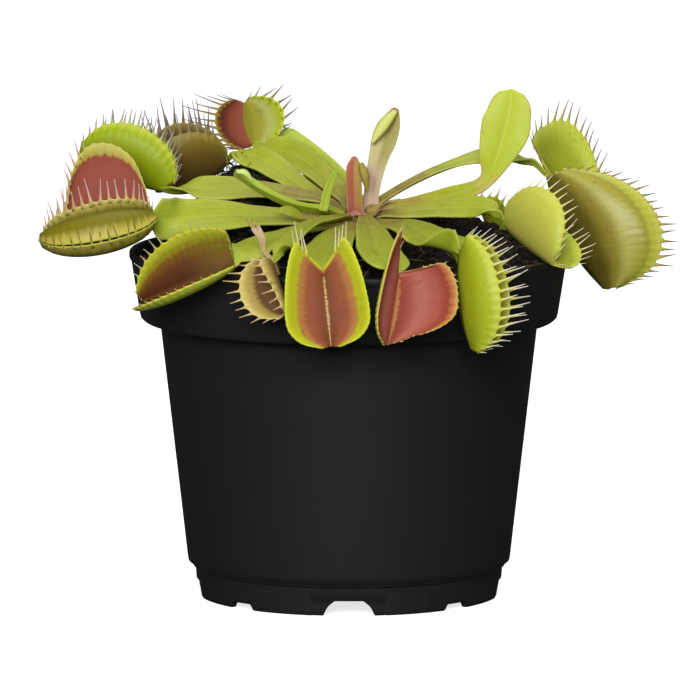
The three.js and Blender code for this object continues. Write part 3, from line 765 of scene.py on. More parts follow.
def scallop(grid, rows, rim, inner, mine, out, faces, phase, look):
    """Cuts a rim into arches between its teeth, with ribs below them and a raised lip inside."""
    arch = -np.abs(np.sin(np.pi * phase)) ** 0.8 * look["arch"]
    ridge = np.cos(2 * np.pi * phase)
    near = ease(0.8, 1.0, rim) * mine
    band = ease(0.66, 0.84, rim) * (1 - ease(0.9, 1.0, rim)) * mine
    lip = np.exp(-(((rim - 0.83) / 0.035) ** 2)) * mine
    inside = inner > 0.5
    skin = np.where(inside, -1.0, 1.0)
    for i, r in enumerate(rows):
        fade = min(1.0, (len(rows) - 1 - i) / 4, i / 4)
        grid[r] += (near * arch[i] * fade)[:, None] * out[i]
        height = band * ridge[i] * look["ribs"] * fade * ~inside
        height = height + lip * look["lip"] * np.where(inside, 1.0, -0.4)
        grid[r] += (height * skin)[:, None] * faces[i]


def add_trap(piece, rings, look, seed, tree, tooth_material):
    grid, rim, inner, hand, share, along = trap_grid(rings)
    across = 2 * HALF_STEPS + 1
    lobes = (
        {"hand": -1, "edge": 0, "inside": 3, "back": 2 * across + 1},
        {"hand": 1, "edge": across - 1, "inside": across - 4, "back": across + 2},
    )
    for k, lobe in enumerate(lobes):
        looks = {**look, **look["lobes"][k]}
        mine = hand == lobe["hand"]
        fill_out(grid, rim, mine, share, looks)
        rows = np.where((share >= looks["teeth_from"]) & (share <= TEETH_END))[0]
        line, back = grid[rows][:, lobe["edge"]], grid[rows][:, lobe["back"]]
        out = unit(line - grid[rows][:, lobe["inside"]])
        faces = unit(back - line)
        run = length_along(line)
        count = max(FEWEST_TEETH, int(round(run[-1] / looks["spacing"])) + 1)
        phase = run / run[-1] * (count - 1)
        scallop(grid, rows, rim, inner, mine, out, faces, phase, looks)
        edge = grid[rows][:, [lobe["edge"], lobe["back"]]].mean(1)
        base = line_mesh(
            f"{piece.name}_rim_{k}",
            edge - out * SUNK_ROOT,
            points=unit(out + np.array(looks["lean"], float) + faces * looks["cross"]),
            faces=faces,
            grows=np.interp(share[rows], *zip(*looks["grows"])),
        )
        teeth = grown_mesh(
            f"{piece.name}_teeth_{k}",
            base,
            tree,
            count=count,
            length=looks["tooth"] * MM,
            root_radius=looks["root"] * MM,
            tip_radius=TOOTH_POINT * MM,
            bend=looks["bend"],
            spread=looks["spread"],
            uneven=TOOTH_UNEVEN,
            seed=seed * 10 + k,
            finish=tooth_material,
        )
        piece.add_mesh(teeth, {"trap": 1.0}, 1)
    known = {"along": along[:, None], "rim": rim[None], "inner": inner[None], "hand": hand[None]}
    piece.add_tube(grid, {**known, "trap": 1.0})


# ---------- the looks of each leaf ----------
GREEN = (152, 164, 36)
LIGHT_GREEN = (180, 186, 72)
# pinkish brown of a petiole's crown end, darkened further as painted shade between the leaves
SHADED_PINK_BASE = (116, 74, 50)
BROWN_BASE = (104, 76, 46)
PLAIN_PETIOLE = [
    (0.0, *SHADED_PINK_BASE), (0.15, 124, 104, 48), (0.32, 142, 146, 40), (0.6, *GREEN), (1.0, 164, 180, 48),
]
BROWN_PETIOLE = [(0.0, *BROWN_BASE), (0.34, 128, 104, 66), (0.5, 150, 156, 60), (1.0, *GREEN)]
RED_INNER = [
    (0.0, 196, 170, 100), (0.06, 140, 72, 52), (0.5, 150, 74, 62), (0.76, 168, 90, 66),
    (0.83, 180, 170, 62), (1.0, 190, 196, 70),
]
GREEN_INNER = [(0.0, 176, 170, 70), (0.1, 140, 138, 30), (0.7, 154, 164, 36), (1.0, 190, 200, 70)]
GREEN_OUTER = [(0.0, 140, 136, 24), (0.35, 148, 156, 16), (0.8, 166, 178, 34), (1.0, 194, 204, 72)]

# What every leaf looks like unless its own look says otherwise. Places along a ramp and shares
# run from 0 to 1, and "lobes" holds what differs between the two lobes of one trap.
DEFAULT_LOOK = {
    # colours of the petiole, from crown to tip
    "petiole": PLAIN_PETIOLE,
    "petiole_light": LIGHT_GREEN,
    # the dark colour of the veins, also painted onto the petiole's underside as shade
    "petiole_veins_and_shade": (118, 128, 18),
    "petiole_edge": (196, 196, 104),
    "veined": 0.45,
    # colours of the trap, from hinge to rim, and of its teeth
    "outer": GREEN_OUTER,
    "outer_light": (168, 180, 54),
    "inner": RED_INNER,
    "inner_dark": (110, 44, 38),
    "wander": 0.14,
    "teeth_root": (206, 204, 120),
    "teeth_tip": (226, 214, 180),
    "speck": (70, 56, 26),
    "roughness": 0.42,
    "shine": 0.2,
    # shape of the petiole
    "broad": 1,
    "arched": 0,
    "wide_end": 0,
    "shoulder": 0.9,
    "tip_length": 0.9,
    "round_from": 1,
    "ragged": 0,
    # shape of the trap and its rim
    "size": 1,
    "fuller": 0,
    "ears": 0,
    "arch": 0.45,
    "ribs": 0.07,
    "lip": 0.14,
    # the teeth: how long, how thick, how far apart, which way and where
    "tooth": 3.2,
    "root": 0.62,
    "spacing": 1.9,
    "bend": 0.1,
    "spread": 0.13,
    "cross": -0.25,
    "lean": (0, 0, 0),
    "teeth_from": -0.05,
    "grows": ((0, 0.55), (0.25, 1), (0.75, 1), (1, 0.5)),
    "lobes": ({}, {}),
}

# A leaf's own look, over the default one. It may add "petiole_second" and "inner_second" for the
# colours on its right hand, "inner_near" for the inner colours at the joint end of its trap,
# "teeth_rim" for its rim's colour under the teeth, and "folded_bud" for the shape of a young trap.
LOOKS = {
    "leaf_left_green": {
        "shoulder": 0.93,
        "wide_end": 2.6,
        "petiole": BROWN_PETIOLE,
        "outer": [(0.0, 92, 104, 4), (0.4, 128, 142, 6), (0.85, 154, 172, 26), (1.0, 190, 200, 70)],
        "outer_light": (150, 168, 20),
        "teeth_root": (176, 178, 110),
        "teeth_tip": (150, 140, 136),
        "tooth": 3.4,
        "root": 0.42,
        "ribs": 0.08,
        "lean": (-0.15, 0, 0.3),
    },
    "leaf_left_red": {
        "outer": [(0.0, 104, 104, 8), (0.5, 120, 114, 16), (0.84, 130, 122, 24), (1.0, 208, 188, 104)],
        "outer_light": (134, 126, 32),
        "inner": [
            (0.0, 176, 140, 90), (0.05, 128, 62, 50), (0.5, 146, 72, 60), (0.86, 156, 82, 62),
            (0.91, 188, 176, 82), (1.0, 200, 194, 100),
        ],
        "teeth_root": (206, 176, 110),
        "teeth_tip": (206, 172, 160),
        "lobes": (
            {"tooth": 4.6, "arch": 0.7, "root": 0.55, "lean": (-0.1, 0.1, 0.8), "spacing": 1.9},
            {
                "tooth": 4.2,
                "root": 0.4,
                "grows": ((0, 0.3), (0.5, 0.2), (0.64, 0.9), (1, 1)),
                "arch": 0.25,
                "lean": (-0.5, 0, 0.2),
            },
        ),
    },
    "leaf_left_olive": {
        "shoulder": 0.93,
        "wide_end": 4.0,
        "outer": [(0.0, 104, 104, 12), (0.4, 110, 104, 12), (0.84, 120, 112, 16), (1.0, 196, 184, 78)],
        "outer_light": (124, 116, 22),
        "inner": GREEN_INNER,
        "teeth_root": (190, 176, 84),
        "teeth_tip": (120, 104, 50),
        "arch": 0.08,
        "ribs": 0.08,
        "lobes": (
            {"tooth": 3.4, "root": 0.36, "lean": (-0.5, 0.1, 1.5), "bend": 0.25, "cross": 0.0},
            {"tooth": 1.1, "root": 0.4, "lean": (-0.3, 0, -1.0), "cross": 0.0},
        ),
    },
    "leaf_back_left_brown": {
        "size": 1.15,
        "outer": [(0.0, 100, 78, 38), (0.6, 108, 86, 34), (0.86, 120, 104, 30), (1.0, 152, 136, 64)],
        "outer_light": (118, 96, 50),
        "inner": [(0.0, 84, 62, 28), (0.8, 96, 76, 30), (1.0, 146, 130, 60)],
        "teeth_root": (130, 112, 84),
        "teeth_tip": (140, 126, 128),
        "tooth": 5.8,
        "teeth_from": 0.2,
        "root": 0.5,
        "ribs": 0.05,
        "lean": (-0.1, 0, 0.9),
    },
    "leaf_back_left_tall": {
        "size": 0.93,
        "teeth_rim": (158, 140, 62),
        "inner": [
            (0.0, 150, 96, 62), (0.06, 140, 74, 52), (0.35, 134, 66, 50), (0.7, 104, 48, 36),
            (0.86, 130, 80, 40), (1.0, 166, 124, 66),
        ],
        "inner_second": [
            (0.0, 130, 122, 14), (0.3, 150, 146, 34), (0.6, 176, 180, 96), (0.85, 176, 192, 50),
            (1.0, 190, 206, 60),
        ],
        "teeth_root": (156, 134, 72),
        "teeth_tip": (96, 88, 92),
        "lobes": (
            {"tooth": 7.2, "root": 0.34, "spread": 0.06, "lean": (-1.2, 0, 0.2), "spacing": 1.6},
            {"tooth": 4.2, "root": 0.4, "spread": 0.25, "lean": (0.3, 0, 0.5)},
        ),
    },
    "leaf_back_cut": {
        "ragged": 2.6,
        "petiole": [(0.0, *SHADED_PINK_BASE), (0.25, *GREEN), (1.0, 184, 204, 84)],
    },
    "leaf_front_left_open": {
        "broad": 1.12,
        "wide_end": 2.8,
        "teeth_root": (196, 192, 70),
        "teeth_tip": (210, 202, 160),
        "tooth": 2.8,
        "root": 0.42,
        "inner": [
            (0.0, 104, 64, 28), (0.12, 76, 38, 14), (0.4, 94, 50, 20), (0.62, 120, 82, 26),
            (0.76, 148, 138, 28), (0.9, 180, 184, 44), (1.0, 196, 198, 56),
        ],
        "inner_near": [(0.0, 98, 74, 26), (0.3, 120, 92, 28), (0.6, 126, 118, 24), (1.0, 184, 188, 50)],
        "lobes": ({"tooth": 1.4}, {}),
    },
    "leaf_front_left_small": {
        "lobes": ({"fuller": -0.45}, {}),
        "teeth_root": (206, 184, 120),
        "teeth_tip": (206, 176, 130),
        "tooth": 3.4,
        "root": 0.4,
        "outer": [(0.0, 130, 106, 60), (0.5, 122, 92, 52), (0.8, 170, 148, 80), (1.0, 206, 186, 112)],
        "outer_light": (150, 126, 72),
        "inner": [(0.0, 112, 78, 34), (0.5, 92, 62, 24), (0.7, 166, 144, 70), (1.0, 208, 190, 112)],
    },
    "leaf_front_heart": {
        "broad": 1.15,
        "ears": 2.4,
        "wide_end": 2.6,
        "inner": [
            (0.0, 200, 170, 110), (0.035, 118, 62, 34), (0.38, 146, 82, 52), (0.6, 178, 122, 68),
            (0.74, 186, 188, 32), (1.0, 204, 214, 48),
        ],
        "tooth": 4.0,
        "root": 0.4,
        "spread": 0.08,
        "spacing": 1.3,
        "grows": ((0, 1.15), (0.07, 1.05), (0.14, 0.12), (0.88, 0.1), (0.93, 0.3), (1, 0.12)),
        "lean": (0, 0.3, 0.9),
        "arch": 0.14,
    },
    "leaf_front_pink": {
        "broad": 1.2,
        "ears": 1.6,
        "teeth_rim": (190, 140, 76),
        "inner": [
            (0.0, 186, 130, 80), (0.07, 144, 66, 48), (0.4, 172, 100, 84), (0.62, 164, 86, 72),
            (0.84, 150, 68, 50), (0.92, 178, 110, 62), (1.0, 200, 156, 84),
        ],
        "teeth_root": (204, 168, 100),
        "tooth": 2.2,
        "root": 0.42,
        "spacing": 1.4,
        "arch": 0.3,
        "lobes": (
            {"grows": ((0, 0.5), (0.2, 0.4), (1, 0.3)), "spread": 0.4},
            {"grows": ((0, 0.9), (0.2, 0.4), (1, 0.3))},
        ),
        "roughness": 0.55,
    },
    "leaf_front_right_closed": {
        "broad": 1.22,
        "ears": 0.9,
        "wide_end": 3.6,
        "arched": 1.6,
        "tooth": 4.6,
        "arch": 0.5,
        "root": 0.46,
        "lean": (0.5, -0.2, 0.35),
        "ribs": 0.04,
        "teeth_root": (200, 202, 76),
        "teeth_tip": (222, 212, 190),
    },
    "leaf_right_pair": {
        "shoulder": 0.76,
        "tooth": 3.4,
        "root": 0.45,
        "arch": 0.3,
        "ribs": 0.03,
        "outer": [(0.0, 158, 152, 60), (0.4, 180, 180, 72), (0.8, 186, 188, 70), (1.0, 200, 204, 84)],
        "outer_light": (188, 190, 88),
        "inner": GREEN_INNER,
        "teeth_root": (208, 200, 110),
    },
    "leaf_right_big": {
        "wander": 0.06,
        "shine": 0.3,
        "petiole": [(0.0, *BROWN_BASE), (0.3, 140, 118, 62), (0.5, 158, 170, 50), (1.0, 176, 190, 60)],
        # this ramp paints a highlight as the pale band across the lobe's middle, and painted shade in the
        # darker stops just beyond it
        "outer": [
            (0.0, 66, 50, 8), (0.26, 84, 68, 10), (0.46, 134, 122, 36), (0.62, 172, 166, 80),
            (0.78, 158, 150, 50), (0.86, 146, 142, 34), (0.92, 176, 180, 60), (1.0, 200, 200, 84),
        ],
        "outer_light": (170, 166, 74),
        "inner": GREEN_INNER,
        "teeth_root": (186, 172, 84),
        "teeth_tip": (132, 108, 84),
        "tooth": 3.6,
        "root": 0.5,
        "arch": 0.7,
        "lip": 0.3,
        "ribs": 0.04,
        "roughness": 0.34,
        "lobes": ({"tooth": 4.0, "root": 0.5, "fuller": 0.44}, {"root": 0.62}),
    },
    "leaf_right_paddle": {
        "round_from": 0.84,
        "tip_length": 1.0,
        "veined": 0.0,
        "petiole": [
            (0.0, 140, 92, 62), (0.2, 140, 118, 40), (0.42, 146, 158, 16), (0.54, 186, 160, 84),
            (0.62, 172, 188, 28), (1.0, 184, 198, 56),
        ],
        "petiole_light": (186, 196, 62),
        "petiole_edge": (204, 178, 110),
    },
    "leaf_upright_tall": {
        "petiole": [
            (0.0, 196, 140, 136), (0.35, 194, 168, 144), (0.62, 190, 188, 116), (0.88, 184, 170, 96),
            (0.96, 178, 112, 74), (1.0, 150, 92, 64),
        ],
        "petiole_second": [
            (0.0, 196, 140, 136), (0.35, 188, 170, 140), (0.62, 150, 148, 40), (0.9, 140, 136, 30),
            (1.0, 160, 96, 66),
        ],
        "petiole_light": (204, 176, 150),
        "outer": [(0.0, 206, 212, 130), (0.6, 196, 198, 90), (1.0, 140, 140, 50)],
        "outer_light": (214, 214, 140),
        "folded_bud": {
            "path": [(9.5, 5.6, 98.9), (7.2, 4.0, 96.4), (4.7, 2.9, 92.7)],
            "half_widths": (0.6, 1.15, 1.35, 1.0, 0.35),
            "half_depths": (0.5, 0.8, 0.9, 0.7, 0.2),
            "face": (-0.3, -0.9, 0.2),
        },
    },
    "leaf_upright_red": {
        "petiole": [(0.0, 158, 84, 76), (0.5, 164, 82, 60), (1.0, 186, 100, 88)],
        "petiole_second": [
            (0.0, 160, 96, 80), (0.3, 166, 134, 66), (0.8, 176, 156, 78), (1.0, 180, 100, 84),
        ],
        "petiole_light": (176, 104, 84),
        "outer": [(0.0, 150, 140, 54), (0.7, 140, 124, 50), (1.0, 150, 92, 60)],
        "outer_light": (168, 150, 70),
        "folded_bud": {
            "path": [(2.4, -2.2, 89.2), (3.2, -2.7, 86.8), (3.7, -2.2, 83.3)],
            "half_widths": (0.5, 0.9, 0.9, 0.6, 0.25),
            "half_depths": (0.4, 0.6, 0.7, 0.5, 0.15),
            "face": (0.1, -1, 0),
        },
    },
    "leaf_young_hook": {
        "broad": 0.6,
        "petiole": [(0.0, 140, 150, 24), (0.3, 152, 172, 22), (1.0, 178, 198, 76)],
        "petiole_light": (184, 200, 84),
        "outer": [(0.0, 206, 222, 140), (1.0, 160, 190, 60)],
        "outer_light": (214, 226, 150),
        "folded_bud": {
            "path": [(-22.8, -9.8, 88.3), (-21.3, -9.9, 88.2), (-19.7, -9.5, 86.4)],
            "half_widths": (0.4, 0.65, 0.7, 0.5, 0.25),
            "half_depths": (0.4, 0.5, 0.5, 0.4, 0.2),
            "face": (0.1, -0.9, 0.4),
        },
    },
    "leaf_young_spear": {
        "petiole": [(0.0, 196, 184, 110), (0.35, 166, 180, 40), (1.0, 150, 180, 30)],
        "petiole_light": (186, 200, 80),
    },
    "leaf_back_right": {"size": 0.55},
    "leaf_right_dark": {"petiole": [(0.0, *BROWN_BASE), (0.3, 80, 90, 30), (1.0, 70, 84, 30)]},
}

DRY_LOOK = {
    **DEFAULT_LOOK,
    "petiole": [(0.0, 88, 60, 36), (0.6, 134, 104, 68), (1.0, 196, 176, 132)],
    "petiole_light": (168, 140, 96),
    "petiole_veins_and_shade": (80, 54, 30),
    "petiole_edge": (206, 188, 146),
    "roughness": 0.7,
}
PALE_DRY_LOOK = {**DRY_LOOK, "petiole": [(0.0, 206, 186, 150), (0.4, 196, 170, 118), (1.0, 150, 122, 70)]}
FRESH_LOOK = {**DEFAULT_LOOK, "petiole": [(0.0, 150, 140, 60), (0.4, 118, 132, 8), (1.0, 140, 150, 30)]}


def build_leaves():
    tree = teeth_tree()
    names = sorted(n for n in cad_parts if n.startswith("leaf_"))
    for seed, name in enumerate(names, 1):
        look = {**DEFAULT_LOOK, **LOOKS.get(name, {})}
        rings = leaf_rings(name)
        piece = Piece(name.replace("leaf_", "living_leaf_"))
        skin = leaf_finish(name + "_skin", look)
        rim_colour = look.get("teeth_rim", look["outer"][-1][1:])
        teeth = tooth_finish(name + "_teeth", rim_colour, look["teeth_root"], look["teeth_tip"])
        petiole, trap = rings[:PETIOLE_RINGS], rings[PETIOLE_RINGS:]
        if len(trap):
            joint = (trap[0, 2] + trap[0, 7]) / 2
            add_petiole(piece, petiole, look, seed, joint)
            add_trap(piece, joint + (trap - joint) * look["size"], look, seed, tree, teeth)
        else:
            add_petiole(piece, petiole, look, seed)
        if "folded_bud" in look:
            add_shoot(piece, **look["folded_bud"], places={"trap": 1.0}, crease=0.25)
        piece.build([skin, teeth], replaces=name)


# ---------- dry and young bits that have no CAD node ----------
DRY_FEET = 11
FOOT_LEVEL = 76.2
UPPER_FACE = {"inner": 1.0}


def build_dry_feet():
    """The dry feet of old leaves, round the crown."""
    feet = Piece("dry_leaf_feet")
    for k in range(DRY_FEET):
        turn = k * 2.4
        reach, rise = 5.2 + 1.6 * math.sin(k * 1.7), 2.6 + 1.5 * math.cos(k * 2.3)
        way = np.array([math.cos(turn), math.sin(turn), 0])
        foot = np.array([CROWN[0], CROWN[1], FOOT_LEVEL]) + way * 3.0
        bend = foot + way * reach * 0.45 + (0, 0, rise)
        tip = foot + way * reach + (0, 0, rise * 1.25)
        widths, depths = (1.1, 1.2, 0.9, 0.3), (0.3, 0.22, 0.18, 0.1)
        add_shoot(feet, [foot, bend, tip], widths, depths, way + (0, 0, 1), UPPER_FACE)
    feet.build([leaf_finish("dry_leaf_feet_skin", DRY_LOOK)])


def build_withered_curl():
    """A withered stalk that curls down over the rim, with three wisps at its top."""
    curl = Piece("withered_curl")
    path = [
        (-18.9, -38, 80.6),
        (-17.6, -38.4, 78.4),
        (-17.2, -38.6, 75.9),
        (-15.4, -39.4, 74.0),
        (-14.2, -40.6, 71.2),
    ]
    widths, depths = (1.0, 0.8, 0.45, 0.6, 0.42), (0.4, 0.5, 0.45, 0.4, 0.35)
    add_shoot(curl, path, widths, depths, (0.2, -1, 0.2), UPPER_FACE, crease=0.7)
    for lean in (-1.6, -0.5, 0.9):
        wisp = [
            (-18.6 + lean * 0.2, -38, 79.6),
            (-19.0 + lean * 0.6, -38.2, 81.2),
            (-19.2 + lean, -38.3, 82.4),
        ]
        add_shoot(curl, wisp, (0.3, 0.2, 0.06), (0.15, 0.12, 0.05), (0, -1, 0), UPPER_FACE)
    curl.build([leaf_finish("withered_curl_skin", PALE_DRY_LOOK)])


def build_young_bract():
    bract = Piece("young_bract")
    path = [(-9.4, -8.2, 78.6), (-11.6, -9.2, 80.0), (-13.6, -9.8, 80.4), (-15.0, -10, 79.8)]
    widths, depths = (0.4, 1.0, 1.25, 0.9, 0.15), (0.3, 0.4, 0.4, 0.3, 0.1)
    add_shoot(bract, path, widths, depths, (0, -0.8, 0.6), UPPER_FACE, crease=0.3)
    bract.build([leaf_finish("young_bract_skin", FRESH_LOOK)])


# ---------- pot ----------
POT_COLUMNS = 720
FLOOR_LOW, FLOOR_HIGH = 3.3, 4.3
FOOT_OUTSIDE, FOOT_INSIDE = 31.0, 29.7
# radius and height of each line round the pot
UNDERSIDE = [(0.05, FLOOR_LOW), (29.3, FLOOR_LOW), (29.7, 2.9), (FOOT_INSIDE, 1.5)]
FOOT = [
    (FOOT_INSIDE, 0.0), (FOOT_INSIDE + 0.25, 0.0), (FOOT_OUTSIDE - 0.2, 0.0), (FOOT_OUTSIDE, 0.18),
    (31.08, 1.0), (31.22, 2.2), (31.3, 3.1), (31.34, 3.5), (31.5, 5.6), (31.56, 5.95),
    (31.86, 6.02), (32.02, 6.16), (32.0, 6.34), (32.3, 6.62), (33.0, 7.2),
]
OUTER_WALL = [(33.16, 8.2), (34.5, 20.0), (36.0, 33.0), (37.5, 46.0), (38.6, 55.6), (38.8, 56.3)]
COLLAR = [
    (39.4, 56.72), (41.3, 56.95), (42.2, 57.1), (42.66, 57.5), (42.86, 58.3), (43.7, 63.5),
    (44.5, 68.6), (44.62, 69.3), (44.9, 69.6), (45.0, 69.85), (45.0, 70.7),
]
LIP = [(44.88, 70.93), (44.65, 71.0), (44.35, 70.98), (44.12, 70.8), (43.9, 69.6)]
INNER_WALL = [(42.0, 58.6), (41.0, 57.6), (38.2, 56.9), (37.8, 56.2), (32.1, 7.2)]
FLOOR = [(30.7, FLOOR_HIGH), (24.0, FLOOR_HIGH), (0.05, FLOOR_HIGH)]
DEEP_NOTCH = {"turn": 0.0, "wide": 5.25, "narrow": 2.9, "depth": 3.1, "bow": 0.55}
SHALLOW_NOTCH = {"turn": 45.0, "wide": 3.2, "narrow": 2.5, "depth": 1.3, "bow": 0.9}
NOTCH_PAD = {"half_width": 7.8, "height": 3.35, "sunk": 0.32, "edge": 0.12}
DRAIN_HOLES, DRAIN_RING, DRAIN_RADIUS, DRAIN_SIDES = 8, 22.0, 2.6, 28


def notch_depth(angle, notch):
    """How high the foot is cut away at an angle round the pot."""
    turn = math.radians(notch["turn"] - 90)
    aside = abs((angle - turn + math.pi / 4) % (math.pi / 2) - math.pi / 4) * FOOT_OUTSIDE
    slope = np.clip((notch["wide"] - aside) / (notch["wide"] - notch["narrow"]), 0, 1)
    return notch["depth"] * slope ** notch["bow"], aside


def pot_plastic():
    f = Finish("black_pot_plastic", roughness=0.5, Specular_IOR_Level=0.2)
    cloud = f.grain(26, 3.0)
    grit = f.grain(2600, 2.0)
    scuff = f.fade(f.grain(90, 5.0, 0.7, distortion=0.6), (0.62, 0.0), (0.8, 1.0))
    body = f.blend(cloud, (26, 27, 27), (32, 33, 32))
    body = f.blend(f.figure("MULTIPLY", scuff, 0.16), body, (70, 70, 66))
    f.bump(f.figure("MULTIPLY_ADD", grit, 0.5, f.figure("MULTIPLY", cloud, 0.8)), 0.05, 0.35)
    return f.colour(body)


def drill_drain_holes(pot):
    """Cuts a ring of round holes through the pot's floor."""
    drill = bmesh.new()
    level = (FLOOR_LOW + FLOOR_HIGH) / 2
    size = {"radius1": DRAIN_RADIUS * MM, "radius2": DRAIN_RADIUS * MM, "depth": 3 * MM}
    for k in range(DRAIN_HOLES):
        angle = (k + 0.5) / DRAIN_HOLES * 2 * math.pi
        at = Vector((DRAIN_RING * math.cos(angle), DRAIN_RING * math.sin(angle), level))
        made = bmesh.ops.create_cone(drill, cap_ends=True, segments=DRAIN_SIDES, **size)
        bmesh.ops.translate(drill, verts=made["verts"], vec=at * MM)
    drill_mesh = bpy.data.meshes.new("drain_drill")
    drill.to_mesh(drill_mesh)
    drill.free()
    drill_object = bpy.data.objects.new("drain_drill", drill_mesh)
    bpy.context.scene.collection.objects.link(drill_object)
    cutter = pot.modifiers.new("drain_holes", "BOOLEAN")
    cutter.operation = "DIFFERENCE"
    cutter.solver = "EXACT"
    cutter.object = drill_object
    evaluated = pot.evaluated_get(bpy.context.evaluated_depsgraph_get())
    drilled = bpy.data.meshes.new_from_object(evaluated)
    pot.modifiers.clear()
    pot.data = drilled
    bpy.data.objects.remove(drill_object)


def build_pot():
    rows = UNDERSIDE + FOOT + OUTER_WALL + COLLAR + LIP + INNER_WALL + FLOOR
    angles = np.arange(POT_COLUMNS) / POT_COLUMNS * 2 * math.pi
    deep, aside = notch_depth(angles, DEEP_NOTCH)
    shallow, _ = notch_depth(angles, SHALLOW_NOTCH)
    cut = np.maximum(deep, shallow)
    pad_end, pad_edge = NOTCH_PAD["half_width"], NOTCH_PAD["edge"]
    pad = ease(pad_end + pad_edge, pad_end - pad_edge, aside)
    grid = np.empty((len(rows), POT_COLUMNS, 3))
    for r, (radius, level) in enumerate(rows):
        height = np.full(POT_COLUMNS, level)
        reach = np.full(POT_COLUMNS, radius)
        if level < FLOOR_LOW and radius > FOOT_INSIDE - 0.5:
            height = np.maximum(height, cut)
        if radius > FOOT_OUTSIDE - 0.5 and level <= NOTCH_PAD["height"] - 0.2:
            reach = reach - NOTCH_PAD["sunk"] * pad
        grid[r] = np.stack([reach * np.cos(angles), reach * np.sin(angles), height], 1)
    piece = Piece("nursery_pot")
    piece.add_tube(grid, {})
    drill_drain_holes(piece.build([pot_plastic()], replaces="pot"))


# ---------- soil ----------
SOIL_ROWS, SOIL_COLUMNS = 120, 320
SOIL_GAP = 0.12
SOIL_LOWERED = 0.25
HUMMOCK = (-24.0, 22.0)
HUMMOCK_RADIUS = 11
# radius and height of each line round the soil's hidden side and underside
SOIL_UNDERSIDE = [
    (42.9, 66.0), (41.2, 58.8), (37.2, 56.2), (31.6, 7.2), (30.2, 4.75), (10, 4.65), (0.05, 4.65),
]


def peat_finish(name, dark, light, grit):
    f = Finish(name, roughness=0.9, Specular_IOR_Level=0.2)
    patch = f.grain(170, 4.0, 0.65)
    speck = f.grain(1500, 3.0, 0.6)
    tone = f.ramp(patch, [(0.35, *dark), (0.7, *light)])
    tone = f.blend(f.figure("MULTIPLY", speck, 0.4), tone, (14, 11, 9))
    f.bump(f.figure("MULTIPLY_ADD", speck, 0.6, patch), grit, 0.9)
    return f.colour(tone)


def fractal(x, y, scale, octaves, offset=0.0):
    total, size = 0.0, 1.0
    for k in range(octaves):
        total += size * noise.noise(Vector((x / scale * 2**k, y / scale * 2**k, offset + 9.7 * k)))
        size *= 0.5
    return total


def build_soil():
    """The peat: its CAD surface, roughened, over plain hidden sides and underside."""
    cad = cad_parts["soil"].data
    shape = BVHTree.FromPolygons([v.co for v in cad.vertices], [p.vertices for p in cad.polygons])
    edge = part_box("soil")[1][0] / MM - SOIL_GAP

    def level(x, y):
        scale = min(1.0, 0.985 * edge / max(1e-6, math.hypot(x, y)))
        hit = shape.ray_cast(Vector((x * scale, y * scale, 200)) * MM, Vector((0, 0, -1)))[0]
        return hit.z / MM

    angles = np.arange(SOIL_COLUMNS) / SOIL_COLUMNS * 2 * math.pi
    top = []
    for r in range(SOIL_ROWS):
        radius = edge * ((r + 0.15) / (SOIL_ROWS - 0.85)) ** 0.8
        calm = 1 if r < SOIL_ROWS - 2 else 0.3
        row = []
        for a in angles:
            x, y = radius * math.cos(a), radius * math.sin(a)
            mound = math.exp(-((x - HUMMOCK[0]) ** 2 + (y - HUMMOCK[1]) ** 2) / 90)
            rough = 0.75 * fractal(x, y, 5.5, 3) + (0.5 + 0.5 * mound) * fractal(x, y, 1.7, 2, 4.0)
            row.append((x, y, level(x, y) + rough * calm - SOIL_LOWERED))
        top.append(row)
    surface = np.array(top)
    below = []
    for radius, height in SOIL_UNDERSIDE:
        reach = min(radius, edge)
        heights = np.full(SOIL_COLUMNS, height)
        below.append(np.stack([reach * np.cos(angles), reach * np.sin(angles), heights], 1))
    piece = Piece("peat_soil")
    piece.add_tube(np.concatenate([surface, np.array(below)]), {})
    peat = peat_finish("damp_peat", (19, 15, 12), (40, 32, 26), 0.3)
    piece.build([peat], replaces="soil")
    return surface


# ---------- what lies on the soil ----------
def scatter_tree(name, instance):
    """Things strewn at random over a surface. `instance` makes one, a unit long."""
    g = Growth(
        name,
        "Surface",
        density=1000.0,
        smallest=0.0004,
        largest=0.0012,
        tumble=3.1,
        crumple=0.0003,
        crumple_scale=900.0,
        lift=0.0,
        seed=1,
    )
    given = g.given
    seed = given["Seed"]
    spots = g.new(
        "GeometryNodeDistributePointsOnFaces",
        {"Mesh": given["Surface"], "Density": given["Density"], "Seed": seed},
        distribute_method="RANDOM",
    ).outputs["Points"]
    wide = g.vector(given["Tumble"], given["Tumble"], 6.28)
    narrow = g.first("ShaderNodeVectorMath", {0: wide, 1: (-1, -1, 0)}, operation="MULTIPLY")
    turn = g.first(
        "FunctionNodeRandomValue", {0: narrow, 1: wide, "Seed": seed}, data_type="FLOAT_VECTOR"
    )
    size = g.new(
        "FunctionNodeRandomValue",
        {2: given["Smallest"], 3: given["Largest"], "Seed": seed},
        data_type="FLOAT",
    ).outputs[1]
    lifted = g.vector(0.0, 0.0, given["Lift"])
    raised = g.first("GeometryNodeSetPosition", {"Geometry": spots, "Offset": lifted})
    strewn = g.first(
        "GeometryNodeInstanceOnPoints",
        {"Points": raised, "Instance": instance(g), "Rotation": turn, "Scale": size},
    )
    solid = g.first("GeometryNodeRealizeInstances", {"Geometry": strewn})
    texture = g.new("ShaderNodeTexNoise", {"Scale": given["Crumple scale"], "Detail": 1.0})
    middled = g.first(
        "ShaderNodeVectorMath",
        {0: texture.outputs["Color"], 1: (0.5, 0.5, 0.5)},
        operation="SUBTRACT",
    )
    push = g.first("ShaderNodeVectorMath", {0: middled, "Scale": given["Crumple"]}, operation="SCALE")
    return g.finished(g.first("GeometryNodeSetPosition", {"Geometry": solid, "Offset": push}))


def crumb(g):
    return g.new("GeometryNodeMeshIcoSphere", {"Radius": 0.5, "Subdivisions": 2}).outputs["Mesh"]


